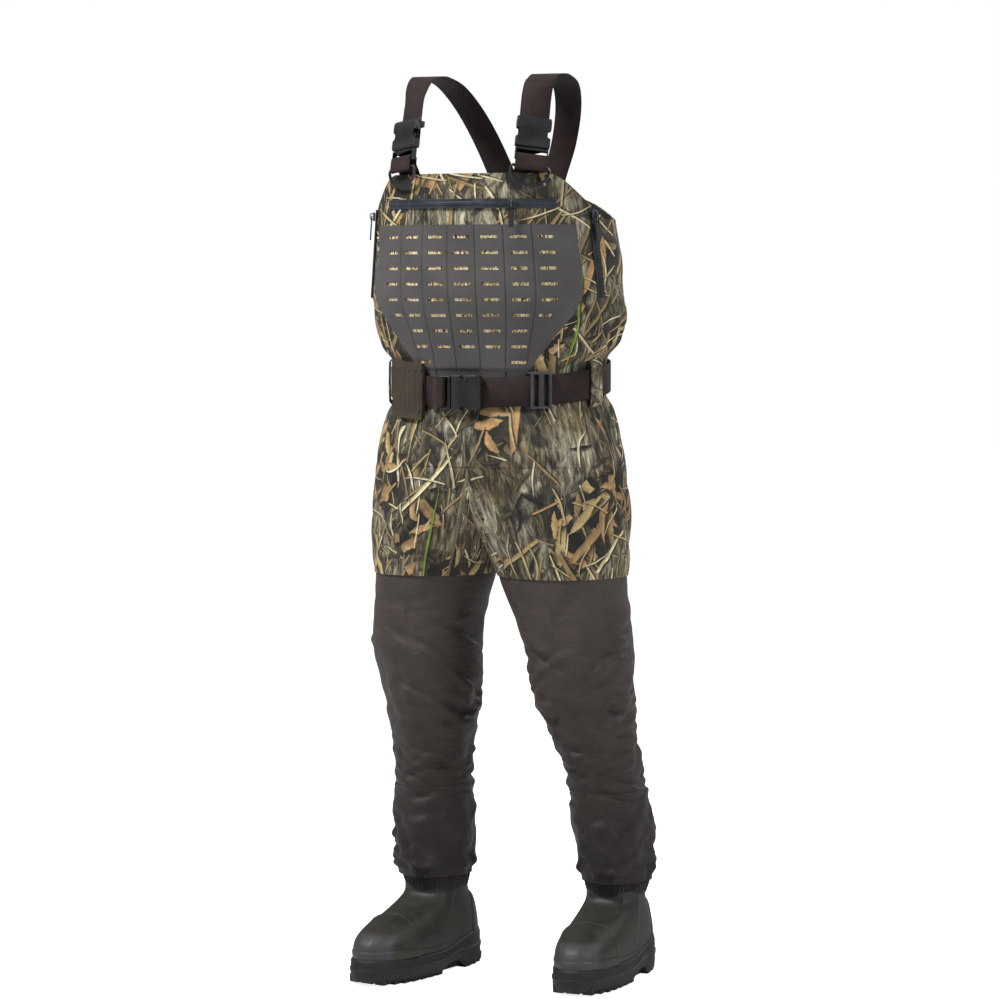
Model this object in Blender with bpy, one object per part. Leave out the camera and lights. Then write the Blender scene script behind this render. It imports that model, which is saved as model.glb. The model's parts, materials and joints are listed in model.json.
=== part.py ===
"""Insulated chest waders, standing empty: bib, trousers, boots, straps, belt, zips and pockets.

Frame: +Z up, the wearer faces -Y and the wearer's left is +X. The origin is on the floor, below the
middle of the garment's bounding box. Angles round the torso are measured from the front centre towards
the wearer's left.
"""

import math

import bmesh
import bpy
import numpy as np
from mathutils import Matrix, Vector

GARMENT = "waders"

# Driving dimensions, in metres and degrees. They are measured from the floor point below the middle of
# the waist, and MIDDLE_SHIFT then puts the origin below the middle of the whole garment.
MIDDLE_SHIFT = (-0.012, 0.0107, 0.0)
CLEARANCE = 0.0006
FABRIC = 0.003
WEBBING_WIDTH = 0.050
WEBBING = 0.002

BIB_BOTTOM = 0.885
BIB_FRONT = 1.375
BIB_SIDE = 1.300
BIB_BACK = 1.345
CROTCH = 0.735
THIGH_TOP = 0.700
KNEE_TOP = 0.560
KNEE_BOTTOM = 0.440
GAITER_TOP = 0.330
CUFF_TOP = 0.172
CUFF_BOTTOM = 0.139
BOOT_TOP = 0.134
LINER_TOP = 0.260

HIP_HEIGHT = 0.860
KNEE_HEIGHT = 0.500
ANKLE_HEIGHT = 0.112

# height, half width, half depth, centre y
TORSO = (
    (0.885, 0.226, 0.152, 0.000),
    (0.940, 0.206, 0.146, 0.000),
    (1.010, 0.184, 0.136, 0.000),
    (1.070, 0.1895, 0.141, -0.002),
    (1.120, 0.208, 0.150, -0.007),
    (1.170, 0.221, 0.158, -0.011),
    (1.220, 0.218, 0.158, -0.014),
    (1.270, 0.213, 0.157, -0.018),
    (1.325, 0.205, 0.155, -0.020),
    (1.375, 0.198, 0.150, -0.022),
)

# height, centre x, centre y, half width, half depth
LEGS = {
    "right": (
        (0.135, -0.131, 0.030, 0.051, 0.060),
        (0.180, -0.133, 0.028, 0.058, 0.068),
        (0.220, -0.133, 0.025, 0.068, 0.080),
        (0.270, -0.133, 0.020, 0.070, 0.084),
        (0.330, -0.131, 0.015, 0.064, 0.081),
        (0.380, -0.129, 0.012, 0.064, 0.082),
        (0.440, -0.128, 0.008, 0.073, 0.088),
        (0.500, -0.126, 0.002, 0.083, 0.098),
        (0.560, -0.138, 0.000, 0.094, 0.107),
        (0.620, -0.136, 0.000, 0.096, 0.110),
        (0.700, -0.126, 0.000, 0.097, 0.115),
    ),
    "left": (
        (0.135, 0.183, 0.085, 0.049, 0.059),
        (0.180, 0.186, 0.080, 0.056, 0.068),
        (0.220, 0.188, 0.074, 0.066, 0.080),
        (0.270, 0.187, 0.062, 0.070, 0.083),
        (0.330, 0.181, 0.050, 0.064, 0.080),
        (0.380, 0.174, 0.040, 0.064, 0.082),
        (0.440, 0.158, 0.026, 0.072, 0.088),
        (0.500, 0.147, 0.016, 0.089, 0.100),
        (0.560, 0.147, 0.008, 0.088, 0.107),
        (0.620, 0.135, 0.002, 0.096, 0.110),
        (0.700, 0.121, 0.000, 0.104, 0.115),
    ),
}
TOE_OUT = {"right": -11.0, "left": 0.0}
SIDE_SIGN = {"right": -1.0, "left": 1.0}

# height, reach forward of the ankle, reach behind it, half width
BOOT = (
    (0.042, 0.224, 0.086, 0.0560),
    (0.058, 0.227, 0.088, 0.0575),
    (0.074, 0.220, 0.087, 0.0570),
    (0.088, 0.194, 0.085, 0.0550),
    (0.100, 0.154, 0.083, 0.0530),
    (0.112, 0.113, 0.079, 0.0510),
    (0.123, 0.080, 0.070, 0.0490),
    (BOOT_TOP, 0.058, 0.060, 0.0470),
)
BOOT_WALL = 0.005
SOLE_TOP = 0.0414
SOLE_PLATE = 0.017
SOLE_REACH = (0.233, 0.093, 0.0600)
TOE_CAP_LINE = 0.145
TOE_CAP = 0.0025
TOE_CAP_TOP = 0.093
INSOLE = 0.0045

BELT_FRONT = 1.010
BELT_BACK = 1.050
BELT = (0.1925, 0.1435)
BELT_TAIL = -7.0
BELT_END = -9.5

PANEL_TOP = 1.290
PANEL_BOTTOM = 1.050
PANEL_CORNER = 1.165
PANEL_EDGE = 57.0
PANEL_EDGE_LOW = 33.0
PANEL_OUT = 0.003
SLOT_PITCH = 0.0262
SLOT_HEIGHT = 0.006
SLOT_ANGLE = 8.0
SLOT_COLUMNS = (-40.0, -26.5, -13.0, 0.0, 13.0, 26.5, 40.0)
SLOT_ROWS = {40.0: 6, 26.5: 9, 13.0: 8, 0.0: 8}

CHEST_ZIP_HEIGHT = 1.325
CHEST_ZIP_RADIUS = 0.2506
CHEST_ZIP_SPAN = 37.0
CHEST_SLIDER = 19.8
SIDE_ZIP_ANGLE = 69.0
SIDE_ZIP_LOW = 1.168
SIDE_ZIP_HIGH = 1.318

STRAP_X = 0.110
STRAP_LEAN = 15.0
SHOULDER_TOP = 1.542
STRAP_STRAIGHT = 0.088
D_RING_LEAN = 13.0

# name: red, green, blue, roughness, metallic
FINISHES = {
    "camouflage": (0.19, 0.17, 0.12, 0.85, 0.0),
    "brown_nylon": (0.045, 0.037, 0.031, 0.75, 0.0),
    "grey_panel": (0.085, 0.079, 0.075, 0.80, 0.0),
    "webbing": (0.035, 0.020, 0.017, 0.85, 0.0),
    "black_plastic": (0.012, 0.012, 0.013, 0.45, 0.0),
    "grey_metal": (0.20, 0.20, 0.21, 0.35, 1.0),
    "zip_tape": (0.030, 0.035, 0.045, 0.45, 0.0),
    "boot_rubber": (0.040, 0.038, 0.028, 0.60, 0.0),
    "sole_rubber": (0.012, 0.012, 0.014, 0.70, 0.0),
    "neoprene": (0.020, 0.020, 0.020, 0.90, 0.0),
}


# Scene and object helpers.


def clear_scene():
    for obj in list(bpy.data.objects):
        bpy.data.objects.remove(obj, do_unlink=True)


def finish(name):
    """The material of this name, made once."""
    found = bpy.data.materials.get(name)
    if found:
        return found
    made = bpy.data.materials.new(name)
    made.use_nodes = True
    red, green, blue, roughness, metallic = FINISHES[name]
    shader = made.node_tree.nodes["Principled BSDF"]
    shader.inputs["Base Color"].default_value = (red, green, blue, 1.0)
    shader.inputs["Roughness"].default_value = roughness
    shader.inputs["Metallic"].default_value = metallic
    made.diffuse_color = (red, green, blue, 1.0)
    return made


def link(obj, parent=None):
    """Puts an object in the scene, under its parent or under the whole garment's empty."""
    bpy.context.scene.collection.objects.link(obj)
    obj.parent = parent or bpy.data.objects.get(GARMENT)
    return obj


def origin_of(obj):
    """Where an unrotated empty's origin is, seen from the whole garment's empty."""
    point = Vector((0.0, 0.0, 0.0))
    while obj and obj.name != GARMENT:
        point += obj.location
        obj = obj.parent
    return point


def pivot(name, point, parent=None):
    """An empty on a joint's axis, which the moving pieces hang from."""
    empty = bpy.data.objects.new(name, None)
    empty.empty_display_size = 0.03
    empty.location = Vector(point) - origin_of(parent)
    return link(empty, parent)


def solid(name, shape, material, parent=None, frame=None):
    """A node: shape is (points, faces) in the world or, with a frame, in that frame's own axes."""
    points, faces = shape
    mesh = bpy.data.meshes.new(name)
    shift = Vector((0.0, 0.0, 0.0)) if frame else origin_of(parent)
    mesh.from_pydata([Vector(p) - shift for p in points], [], [list(map(int, f)) for f in faces])
    made = bmesh.new()
    made.from_mesh(mesh)
    bmesh.ops.recalc_face_normals(made, faces=made.faces)
    made.to_mesh(mesh)
    made.free()
    mesh.shade_smooth()
    mesh.set_sharp_from_angle(angle=math.radians(35))
    mesh.materials.append(finish(material))
    obj = link(bpy.data.objects.new(name, mesh), parent)
    if frame:
        obj.matrix_basis = Matrix.Translation(-origin_of(parent)) @ frame
    return obj


def combine(target, helper, operation):
    """Cuts helper from target, or joins it on. The helper stays hidden in the target's own axes."""
    helper.parent = target
    helper.matrix_basis = Matrix.Identity(4)
    helper.hide_render = True
    helper.display_type = "WIRE"
    change = target.modifiers.new(helper.name, "BOOLEAN")
    change.operation = operation
    change.object = helper
    change.solver = "EXACT"


def cut(target, name, shape):
    combine(target, solid(name, shape, "black_plastic", frame=Matrix.Identity(4)), "DIFFERENCE")


def join(target, name, shape):
    combine(target, solid(name, shape, "black_plastic", frame=Matrix.Identity(4)), "UNION")


def soften(obj, width):
    """Rounds the outer edges before any cut."""
    bevel = obj.modifiers.new("rounded edges", "BEVEL")
    bevel.width = width
    bevel.segments = 1
    bevel.limit_method = "ANGLE"


# Shapes as (points, faces).


def merged(*shapes):
    """Several separate shapes as one, for a helper."""
    points, faces = [], []
    for more_points, more_faces in shapes:
        start = len(points)
        points += list(more_points)
        faces += [[start + index for index in face] for face in more_faces]
    return points, faces


def box(low, high):
    points = [(x, y, z) for x in (low[0], high[0]) for y in (low[1], high[1]) for z in (low[2], high[2])]
    faces = [(0, 1, 3, 2), (4, 6, 7, 5), (0, 4, 5, 1), (2, 3, 7, 6), (0, 2, 6, 4), (1, 5, 7, 3)]
    return points, faces


def between(outer, inner, closed, floor=False, holes=frozenset()):
    """A wall between two grids of points: closed joins the last column to the first, floor closes the
    first row into a bottom, and holes lists (row, column) cells that are open right through."""
    rows, columns = outer.shape[:2]
    count = rows * columns
    points = [tuple(p) for p in outer.reshape(-1, 3)] + [tuple(p) for p in inner.reshape(-1, 3)]
    spans = columns if closed else columns - 1
    cells = {(r, c) for r in range(rows - 1) for c in range(spans)} - set(holes)
    edges = {}
    faces = []
    for r, c in sorted(cells):
        after = (c + 1) % columns
        ring = [r * columns + c, r * columns + after, (r + 1) * columns + after, (r + 1) * columns + c]
        faces.append(ring)
        faces.append([count + index for index in reversed(ring)])
        for a, b in zip(ring, ring[1:] + ring[:1]):
            if (b, a) in edges:
                del edges[(b, a)]
            else:
                edges[(a, b)] = True
    for a, b in edges:
        if floor and a < columns and b < columns:
            continue
        faces.append([b, a, count + a, count + b])
    if floor:
        faces.append(list(reversed(range(columns))))
        faces.append([count + index for index in range(columns)])
    return points, faces


def grid_normals(grid, closed):
    """Unit normals of a grid of points, facing out where columns run anticlockwise and rows run up."""
    across = np.roll(grid, -1, axis=1) - np.roll(grid, 1, axis=1)
    if not closed:
        across[:, 0] = grid[:, 1] - grid[:, 0]
        across[:, -1] = grid[:, -1] - grid[:, -2]
    along = np.gradient(grid, axis=0)
    normals = np.cross(across, along)
    return normals / np.linalg.norm(normals, axis=2, keepdims=True)


def extrusion(outline, half_width):
    """An outline of (y, z) points drawn out along X, both ways."""
    count = len(outline)
    points = [(side * half_width, y, z) for side in (-1, 1) for y, z in outline]
    faces = [list(range(count)), [count + index for index in reversed(range(count))]]
    for index in range(count):
        after = (index + 1) % count
        faces.append([index, index + count, after + count, after])
    return points, faces


def thickened(path, thickness):
    """The outline of a strip of this thickness whose middle follows a path of (y, z) points."""
    path = np.array(path)
    along = np.gradient(path, axis=0)
    along /= np.linalg.norm(along, axis=1, keepdims=True)
    side = np.stack([-along[:, 1], along[:, 0]], axis=1) * thickness / 2
    return [tuple(p) for p in np.concatenate([path + side, (path - side)[::-1]])]


def swept_loop(path, normal, radius, sides=6):
    """A round rod bent into a closed flat loop, whose plane faces normal."""
    path = np.array(path, float)
    along = np.roll(path, -1, axis=0) - np.roll(path, 1, axis=0)
    along /= np.linalg.norm(along, axis=1, keepdims=True)
    across = np.cross(along, normal)
    turns = [2 * math.pi * k / sides for k in range(sides)]
    rings = [path + radius * (math.cos(t) * across + math.sin(t) * np.array(normal)) for t in turns]
    count = len(path)
    points = [tuple(p) for ring in rings for p in ring]
    faces = []
    for k in range(sides):
        for index in range(count):
            after = (index + 1) % count
            above = (k + 1) % sides
            low, high = k * count, above * count
            faces.append([low + index, low + after, high + after, high + index])
    return points, faces


def ribbon(centres, widths, width, thickness):
    """Flat webbing along centres, with its width along widths and its body on the outer side."""
    centres = np.array(centres, float)
    widths = np.array(widths, float)
    along = np.gradient(centres, axis=0)
    out = np.cross(widths, along)
    out /= np.linalg.norm(out, axis=1, keepdims=True)
    half = widths * width / 2
    inner = np.stack([centres - half, centres + half], axis=1)
    outer = inner + out[:, None] * thickness
    return between(outer, inner, closed=False)


# Surfaces of the torso and the legs.


def smooth(position, table, column):
    """A table's column at this height, along a curve through its rows."""
    heights = np.array([row[0] for row in table])
    values = np.array([row[column] for row in table])
    slopes = np.gradient(values, heights)
    k = int(np.clip(np.searchsorted(heights, position) - 1, 0, len(heights) - 2))
    span = heights[k + 1] - heights[k]
    t = min(max((position - heights[k]) / span, 0.0), 1.0)
    rise = values[k + 1] - values[k]
    return (
        values[k]
        + rise * t * t * (3 - 2 * t)
        + span * t * (1 - t) * ((1 - t) * slopes[k] - t * slopes[k + 1])
    )


def smoothstep(value, low, high):
    t = min(max((value - low) / (high - low), 0.0), 1.0)
    return t * t * (3 - 2 * t)


def torso_point(angle, height, out=0.0):
    """A point of the bib's outer surface, or standing out from it. The angle is in degrees."""
    turn = math.radians(angle)
    a, b, y = (smooth(height, TORSO, column) for column in (1, 2, 3))
    return np.array([(a + out) * math.sin(turn), y - (b + out) * math.cos(turn), height])


def facing(angle, a, b):
    """The direction, in radians from -Y towards +X, that an ellipse faces at this angle."""
    turn = math.radians(angle)
    return math.atan2(math.sin(turn) / a, math.cos(turn) / b)


def bib_top(angle):
    turn = abs((angle + 180) % 360 - 180)
    if turn < 90:
        return BIB_FRONT + (BIB_SIDE - BIB_FRONT) * smoothstep(turn, 42, 84)
    return BIB_SIDE + (BIB_BACK - BIB_SIDE) * smoothstep(turn, 105, 160)


def belt_height(angle):
    middle = (BELT_FRONT + BELT_BACK) / 2
    return middle - (BELT_BACK - BELT_FRONT) / 2 * math.cos(math.radians(angle))


def belt_point(angle, lift, out=0.0):
    """A point of the belt's inner face, or standing out from it, lift above the belt's middle."""
    turn = math.radians(angle)
    x, y = (BELT[0] + out) * math.sin(turn), -(BELT[1] + out) * math.cos(turn)
    return np.array([x, y, belt_height(angle) + lift])


def torso_grid(angles, heights, out):
    return np.array([[torso_point(a, h, out) for a in angles] for h in heights])


def leg_point(side, turn, height, inset=0.0):
    """A point of a leg's surface. The turn is in radians from the front towards the wearer's left."""
    x, y, a, b = (smooth(height, LEGS[side], column) for column in (1, 2, 3, 4))
    return np.array([x + (a - inset) * math.sin(turn), y - (b - inset) * math.cos(turn), height])


def leg_grid(side, low, high, rows, inset, columns=18):
    heights = np.linspace(low, high, rows + 1)
    turns = np.linspace(0, 2 * math.pi, columns, endpoint=False)
    return np.array([[leg_point(side, t, h, inset) for t in turns] for h in heights])


def frame_at(origin, x_axis, y_axis, z_axis):
    """A placement from an origin and three unit axes."""
    placed = Matrix.Identity(4)
    for column, axis in enumerate((x_axis, y_axis, z_axis, origin)):
        for row in range(3):
            placed[row][column] = axis[row]
    return placed


# The garment.


def bib():
    columns, rows = 36, 14
    angles = [360 * k / columns for k in range(columns)]

    def grid(out):
        shares = [r / rows for r in range(rows + 1)]
        heights = [[BIB_BOTTOM + (bib_top(a) - BIB_BOTTOM) * share for a in angles] for share in shares]
        return np.array([[torso_point(a, h, out) for a, h in zip(angles, row)] for row in heights])

    solid("bib", between(grid(0.0), grid(-FABRIC), closed=True), "camouflage")


def seat_loop(side, steps_out, steps_in):
    """The upper edge of a seat half: round the outside at hip height, then under the crotch."""
    sign = SIDE_SIGN[side]
    top = BIB_BOTTOM - CLEARANCE
    points = [torso_point(sign * 180 * k / steps_out, top) for k in range(steps_out + 1)]
    depth = smooth(top, TORSO, 2)
    for k in range(1, steps_in):
        turn = math.pi * k / steps_in
        drop = (top - CROTCH) * math.sin(turn) ** 0.7
        points.append(np.array([0.0, depth * math.cos(turn), top - drop]))
    points = np.array(points)
    points[:, 0] = sign * np.maximum(sign * points[:, 0], CLEARANCE)
    return points


def seat_half(side, hip):
    """One leg of the camouflage trousers, from the hips to the seam on the thigh."""
    steps_out, steps_in, rows = 16, 12, 4
    sign = SIDE_SIGN[side]
    low = THIGH_TOP + CLEARANCE
    upper = seat_loop(side, steps_out, steps_in)
    turns = [-40 + 260 * k / steps_out for k in range(steps_out + 1)]
    turns += [220 + 100 * k / steps_in for k in range(1, steps_in)]
    lower = np.array([leg_point(side, sign * math.radians(t), low) for t in turns])
    grid = np.array([lower + (upper - lower) * (r / rows) for r in range(rows + 1)])
    if sign < 0:
        grid = grid[:, ::-1]
    normals = grid_normals(grid, closed=True)
    normals[0, :, 2] = 0
    hips = grid[-1, :, 2] > BIB_BOTTOM - 2 * CLEARANCE
    normals[-1, hips, 2] = 0
    inner = grid - FABRIC * normals / np.linalg.norm(normals, axis=2, keepdims=True)
    inner[..., 0] = sign * np.maximum(sign * inner[..., 0], CLEARANCE)
    solid(f"{side}_seat_half", between(grid, inner, closed=True), "camouflage", hip)


def leg_tube(name, side, low, high, rows, material, parent):
    outer = leg_grid(side, low + CLEARANCE / 2, high - CLEARANCE / 2, rows, 0.0)
    inner = leg_grid(side, low + CLEARANCE / 2, high - CLEARANCE / 2, rows, FABRIC)
    solid(name, between(outer, inner, closed=True), material, parent)


def trouser_leg(side, hip, knee, ankle):
    leg_tube(f"{side}_thigh", side, KNEE_TOP, THIGH_TOP, 3, "brown_nylon", hip)
    leg_tube(f"{side}_knee", side, KNEE_BOTTOM, KNEE_TOP, 3, "brown_nylon", knee)
    leg_tube(f"{side}_shin", side, GAITER_TOP, KNEE_BOTTOM, 3, "brown_nylon", knee)
    leg_tube(f"{side}_gaiter", side, CUFF_TOP, GAITER_TOP, 3, "brown_nylon", knee)
    leg_tube(f"{side}_ankle_cuff", side, CUFF_BOTTOM, CUFF_TOP, 1, "brown_nylon", ankle)


# The boots.


def foot_point(side, forward, sideways, height):
    x, y = (smooth(CUFF_BOTTOM, LEGS[side], column) for column in (1, 2))
    yaw = math.radians(TOE_OUT[side])
    ahead = np.array([math.sin(yaw), -math.cos(yaw), 0.0])
    across = np.array([math.cos(yaw), math.sin(yaw), 0.0])
    return np.array([x, y, height]) + forward * ahead + sideways * across


def foot_outline(reach, behind, half_width, turn):
    """A foot-shaped outline: (forward, sideways) at this turn from the toe."""
    cosine = math.cos(turn)
    forward = (reach if cosine > 0 else behind) * math.copysign(abs(cosine) ** 0.86, cosine)
    return forward, half_width * (1 + 0.1 * cosine) * math.sin(turn)


def foot_ring(side, height, reach, behind, half_width, columns):
    turns = [2 * math.pi * k / columns for k in range(columns)]
    outline = [foot_outline(reach, behind, half_width, t) for t in turns]
    return np.array([foot_point(side, f, s, height) for f, s in outline])


def boot_grid(side, inset, columns=20, heights=None):
    heights = heights or [row[0] for row in BOOT]
    rings = []
    for h in heights:
        reach, behind, half = (smooth(h, BOOT, column) - inset for column in (1, 2, 3))
        rings.append(foot_ring(side, h, reach, behind, half, columns))
    return np.array(rings)


def boot_upper(side, ankle):
    shape = between(boot_grid(side, 0.0), boot_grid(side, BOOT_WALL), closed=True)
    solid(f"{side}_boot_upper", shape, "boot_rubber", ankle)


def toe_cap(side, ankle):
    """The moulded cap over the toes, ending on a straight line across the foot."""

    def grid(out):
        rows = []
        for h in np.linspace(BOOT[0][0], TOE_CAP_TOP, 6):
            reach, behind, half = (smooth(h, BOOT, column) + out for column in (1, 2, 3))
            widest = math.acos(min(TOE_CAP_LINE / reach, 0.98))
            turns = np.linspace(-widest, widest, 9)
            outline = [foot_outline(reach, behind, half, t) for t in turns]
            rows.append([foot_point(side, f, s, h + out) for f, s in outline])
        return np.array(rows)

    shape = between(grid(CLEARANCE + 0.0008 + TOE_CAP), grid(CLEARANCE + 0.0008), closed=False)
    solid(f"{side}_toe_cap", shape, "boot_rubber", ankle)


def sole_bar(side, back, front):
    """One tread bar across the sole, as a closed block reaching up into the plate."""
    corners = []
    for forward in (back, front):
        reach = SOLE_REACH[0] if forward > 0 else SOLE_REACH[1]
        turn = math.acos(min(abs(forward) / reach, 0.97))
        half = SOLE_REACH[2] * (1 + math.copysign(0.1 * math.cos(turn), forward)) * math.sin(turn)
        corners.append((forward, half - 0.003))
    points = []
    for z in (0.0, SOLE_PLATE + 0.004):
        for forward, half in corners:
            points += [foot_point(side, forward, -half, z), foot_point(side, forward, half, z)]
    faces = [(0, 1, 3, 2), (4, 6, 7, 5), (0, 4, 5, 1), (2, 3, 7, 6), (0, 2, 6, 4), (1, 5, 7, 3)]
    return points, faces


def outsole(side, ankle):
    """The rubber sole: a plate under the boot, a heel block and tread bars with an arch between them."""
    columns = 24
    low = foot_ring(side, SOLE_PLATE, *SOLE_REACH, columns)
    high = foot_ring(side, SOLE_TOP, *SOLE_REACH, columns)
    points = [tuple(p) for p in np.concatenate([low, high])]
    faces = [list(range(columns)), [columns + k for k in range(columns)]]
    for k in range(columns):
        after = (k + 1) % columns
        faces.append([k, after, after + columns, k + columns])
    sole = solid(f"{side}_outsole", (points, faces), "sole_rubber", ankle)
    starts = [-0.080, -0.052, -0.024, 0.050, 0.082, 0.114, 0.146, 0.178]
    bars = [sole_bar(side, start, start + 0.024) for start in starts]
    shift = np.array(origin_of(ankle))
    points, faces = merged(*bars)
    join(sole, f"{side}_tread_bars", ([tuple(np.array(p) - shift) for p in points], faces))


def insole(side, ankle):
    reach, behind, half = (value - 0.020 for value in SOLE_REACH)
    rings = [foot_ring(side, h, reach, behind, half, 18) for h in (SOLE_TOP + CLEARANCE, SOLE_TOP + INSOLE)]
    points = [tuple(p) for p in np.concatenate(rings)]
    faces = [list(range(18)), [18 + k for k in range(18)]]
    faces += [[k, (k + 1) % 18, (k + 1) % 18 + 18, k + 18] for k in range(18)]
    solid(f"{side}_insole", (points, faces), "neoprene", ankle)


def boot_liner(side, ankle):
    """The neoprene bootie inside the boot, which reaches up inside the gaiter."""

    def grid(inset, bottom):
        columns = 16
        heights = [bottom] + [row[0] for row in BOOT[1:]]
        rings = list(boot_grid(side, inset + BOOT_WALL + 0.0022, columns, heights))
        for h in (0.150, 0.190, LINER_TOP):
            x, y = (smooth(h, LEGS[side], column) for column in (1, 2))
            yaw = math.radians(TOE_OUT[side])
            turns = [2 * math.pi * k / columns for k in range(columns)]
            local = [((0.051 - inset) * math.cos(t), (0.041 - inset) * math.sin(t)) for t in turns]
            ahead = np.array([math.sin(yaw), -math.cos(yaw), 0.0])
            across = np.array([math.cos(yaw), math.sin(yaw), 0.0])
            rings.append(np.array([np.array([x, y, h]) + f * ahead + s * across for f, s in local]))
        return np.array(rings)

    low = SOLE_TOP + INSOLE + CLEARANCE
    shape = between(grid(0.0, low), grid(0.004, low + 0.004), closed=True, floor=True)
    solid(f"{side}_boot_liner", shape, "neoprene", ankle)


# The chest: slotted panel, pocket and zips.


def panel_edge(height):
    t = (height - PANEL_BOTTOM) / (PANEL_CORNER - PANEL_BOTTOM)
    return PANEL_EDGE_LOW + (PANEL_EDGE - PANEL_EDGE_LOW) * min(max(t, 0.0), 1.0)


def panel_angle(angle, height):
    """Columns beyond the last full-height slots close up where the panel narrows."""
    fixed = SLOT_COLUMNS[-2] + SLOT_ANGLE / 2
    if abs(angle) <= fixed:
        return angle
    share = (panel_edge(height) - fixed) / (PANEL_EDGE - fixed)
    return math.copysign(fixed + (abs(angle) - fixed) * share, angle)


def chest_panel():
    """The grey panel with rows of slots cut right through, cut away at an angle beside the hand pockets."""
    half = SLOT_ANGLE / 2
    angles = [-PANEL_EDGE] + [c + s for c in SLOT_COLUMNS for s in (-half, half)] + [PANEL_EDGE]
    rows = max(SLOT_ROWS.values())
    first = PANEL_TOP - 0.020
    centres = [first - SLOT_PITCH * k for k in range(rows)]
    heights = [PANEL_TOP] + [c + s for c in centres for s in (SLOT_HEIGHT / 2, -SLOT_HEIGHT / 2)]
    heights = (heights + [PANEL_BOTTOM])[::-1]

    def grid(out):
        return np.array([[torso_point(panel_angle(a, h), h, out) for a in angles] for h in heights])

    holes = set()
    for column, centre in enumerate(SLOT_COLUMNS):
        for k in range(SLOT_ROWS[abs(centre)]):
            holes.add((2 * (rows - 1 - k) + 1, 2 * column + 1))
    shape = between(grid(PANEL_OUT + 0.0015), grid(PANEL_OUT), closed=False, holes=holes)
    solid("chest_panel", shape, "grey_panel")


def inner_pocket():
    angles = np.linspace(-24, 24, 7)
    heights = np.linspace(1.150, 1.310, 5)
    outer, inner = (torso_grid(angles, heights, out) for out in (-0.0065, -0.0125))
    solid("inner_pocket", between(outer, inner, closed=False), "neoprene")


def zip_slider(name, frame, parent):
    """The slider body with the small arch that holds the puller's pin."""
    shape = box((-0.0055, -0.0075, 0.0036), (0.0055, 0.0075, 0.0072))
    slider = solid(name, shape, "grey_metal", parent, frame)
    soften(slider, 0.0010)
    arch = extrusion(
        [
            (-0.0060, 0.0060),
            (-0.0060, 0.0105),
            (-0.0030, 0.0130),
            (0.0030, 0.0130),
            (0.0060, 0.0105),
            (0.0060, 0.0060),
            (0.0042, 0.0060),
            (0.0042, 0.0100),
            (0.0022, 0.0115),
            (-0.0022, 0.0115),
            (-0.0042, 0.0100),
            (-0.0042, 0.0060),
        ],
        0.0014,
    )
    join(slider, f"{name}_arch", arch)


def zip_puller(name, frame, parent):
    """The puller: a pin through the slider's arch, two arms and a grip tab. Its origin is on the pin."""
    shape = box((-0.0045, -0.0011, -0.0011), (0.0045, 0.0011, 0.0011))
    puller = solid(name, shape, "black_plastic", parent, frame)
    arms = [box((s - 0.0008, -0.0145, -0.0009), (s + 0.0008, 0.0004, 0.0009)) for s in (-0.0037, 0.0037)]
    for side, arm in zip(("near", "far"), arms):
        join(puller, f"{name}_{side}_arm", arm)
    join(puller, f"{name}_grip", box((-0.0042, -0.0400, -0.0010), (0.0042, -0.0135, 0.0010)))


def puller_frame(frame):
    return frame @ Matrix.Translation((0.0, 0.0, 0.0094))


def chest_zip():
    """The chest pocket's zip. Its track is an arc, so the slider turns about the arc's centre."""
    front = torso_point(0, CHEST_ZIP_HEIGHT, 0.002)
    centre = Vector((0.0, front[1] + CHEST_ZIP_RADIUS, CHEST_ZIP_HEIGHT))
    angles = np.linspace(-CHEST_ZIP_SPAN, CHEST_ZIP_SPAN, 17)

    def arc(angle, radius, lift):
        turn = math.radians(angle)
        x, y = math.sin(turn), -math.cos(turn)
        return np.array([radius * x, centre.y + radius * y, CHEST_ZIP_HEIGHT + lift])

    section = [(-0.008, 0.0015), (-0.0025, 0.0015), (-0.0022, 0.0029)]
    section += [(0.0022, 0.0029), (0.0025, 0.0015), (0.008, 0.0015)]
    outer = np.array([[arc(a, CHEST_ZIP_RADIUS + out, lift) for a in angles] for lift, out in section])
    inner = np.array([[arc(a, CHEST_ZIP_RADIUS, lift) for a in angles] for lift, _ in section])
    solid("chest_zip_tape", between(outer, inner, closed=False), "zip_tape")

    turn = math.radians(CHEST_SLIDER)
    out = Vector((math.sin(turn), -math.cos(turn), 0.0))
    tangent = Vector((math.cos(turn), math.sin(turn), 0.0))
    track = pivot("chest_zip_centre", centre)
    place = centre + CHEST_ZIP_RADIUS * out
    hanging = frame_at(place, tangent, (0, 0, 1), out)
    zip_slider("chest_zip_slider", hanging, track)
    zip_puller("chest_zip_puller", puller_frame(hanging), track)


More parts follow.
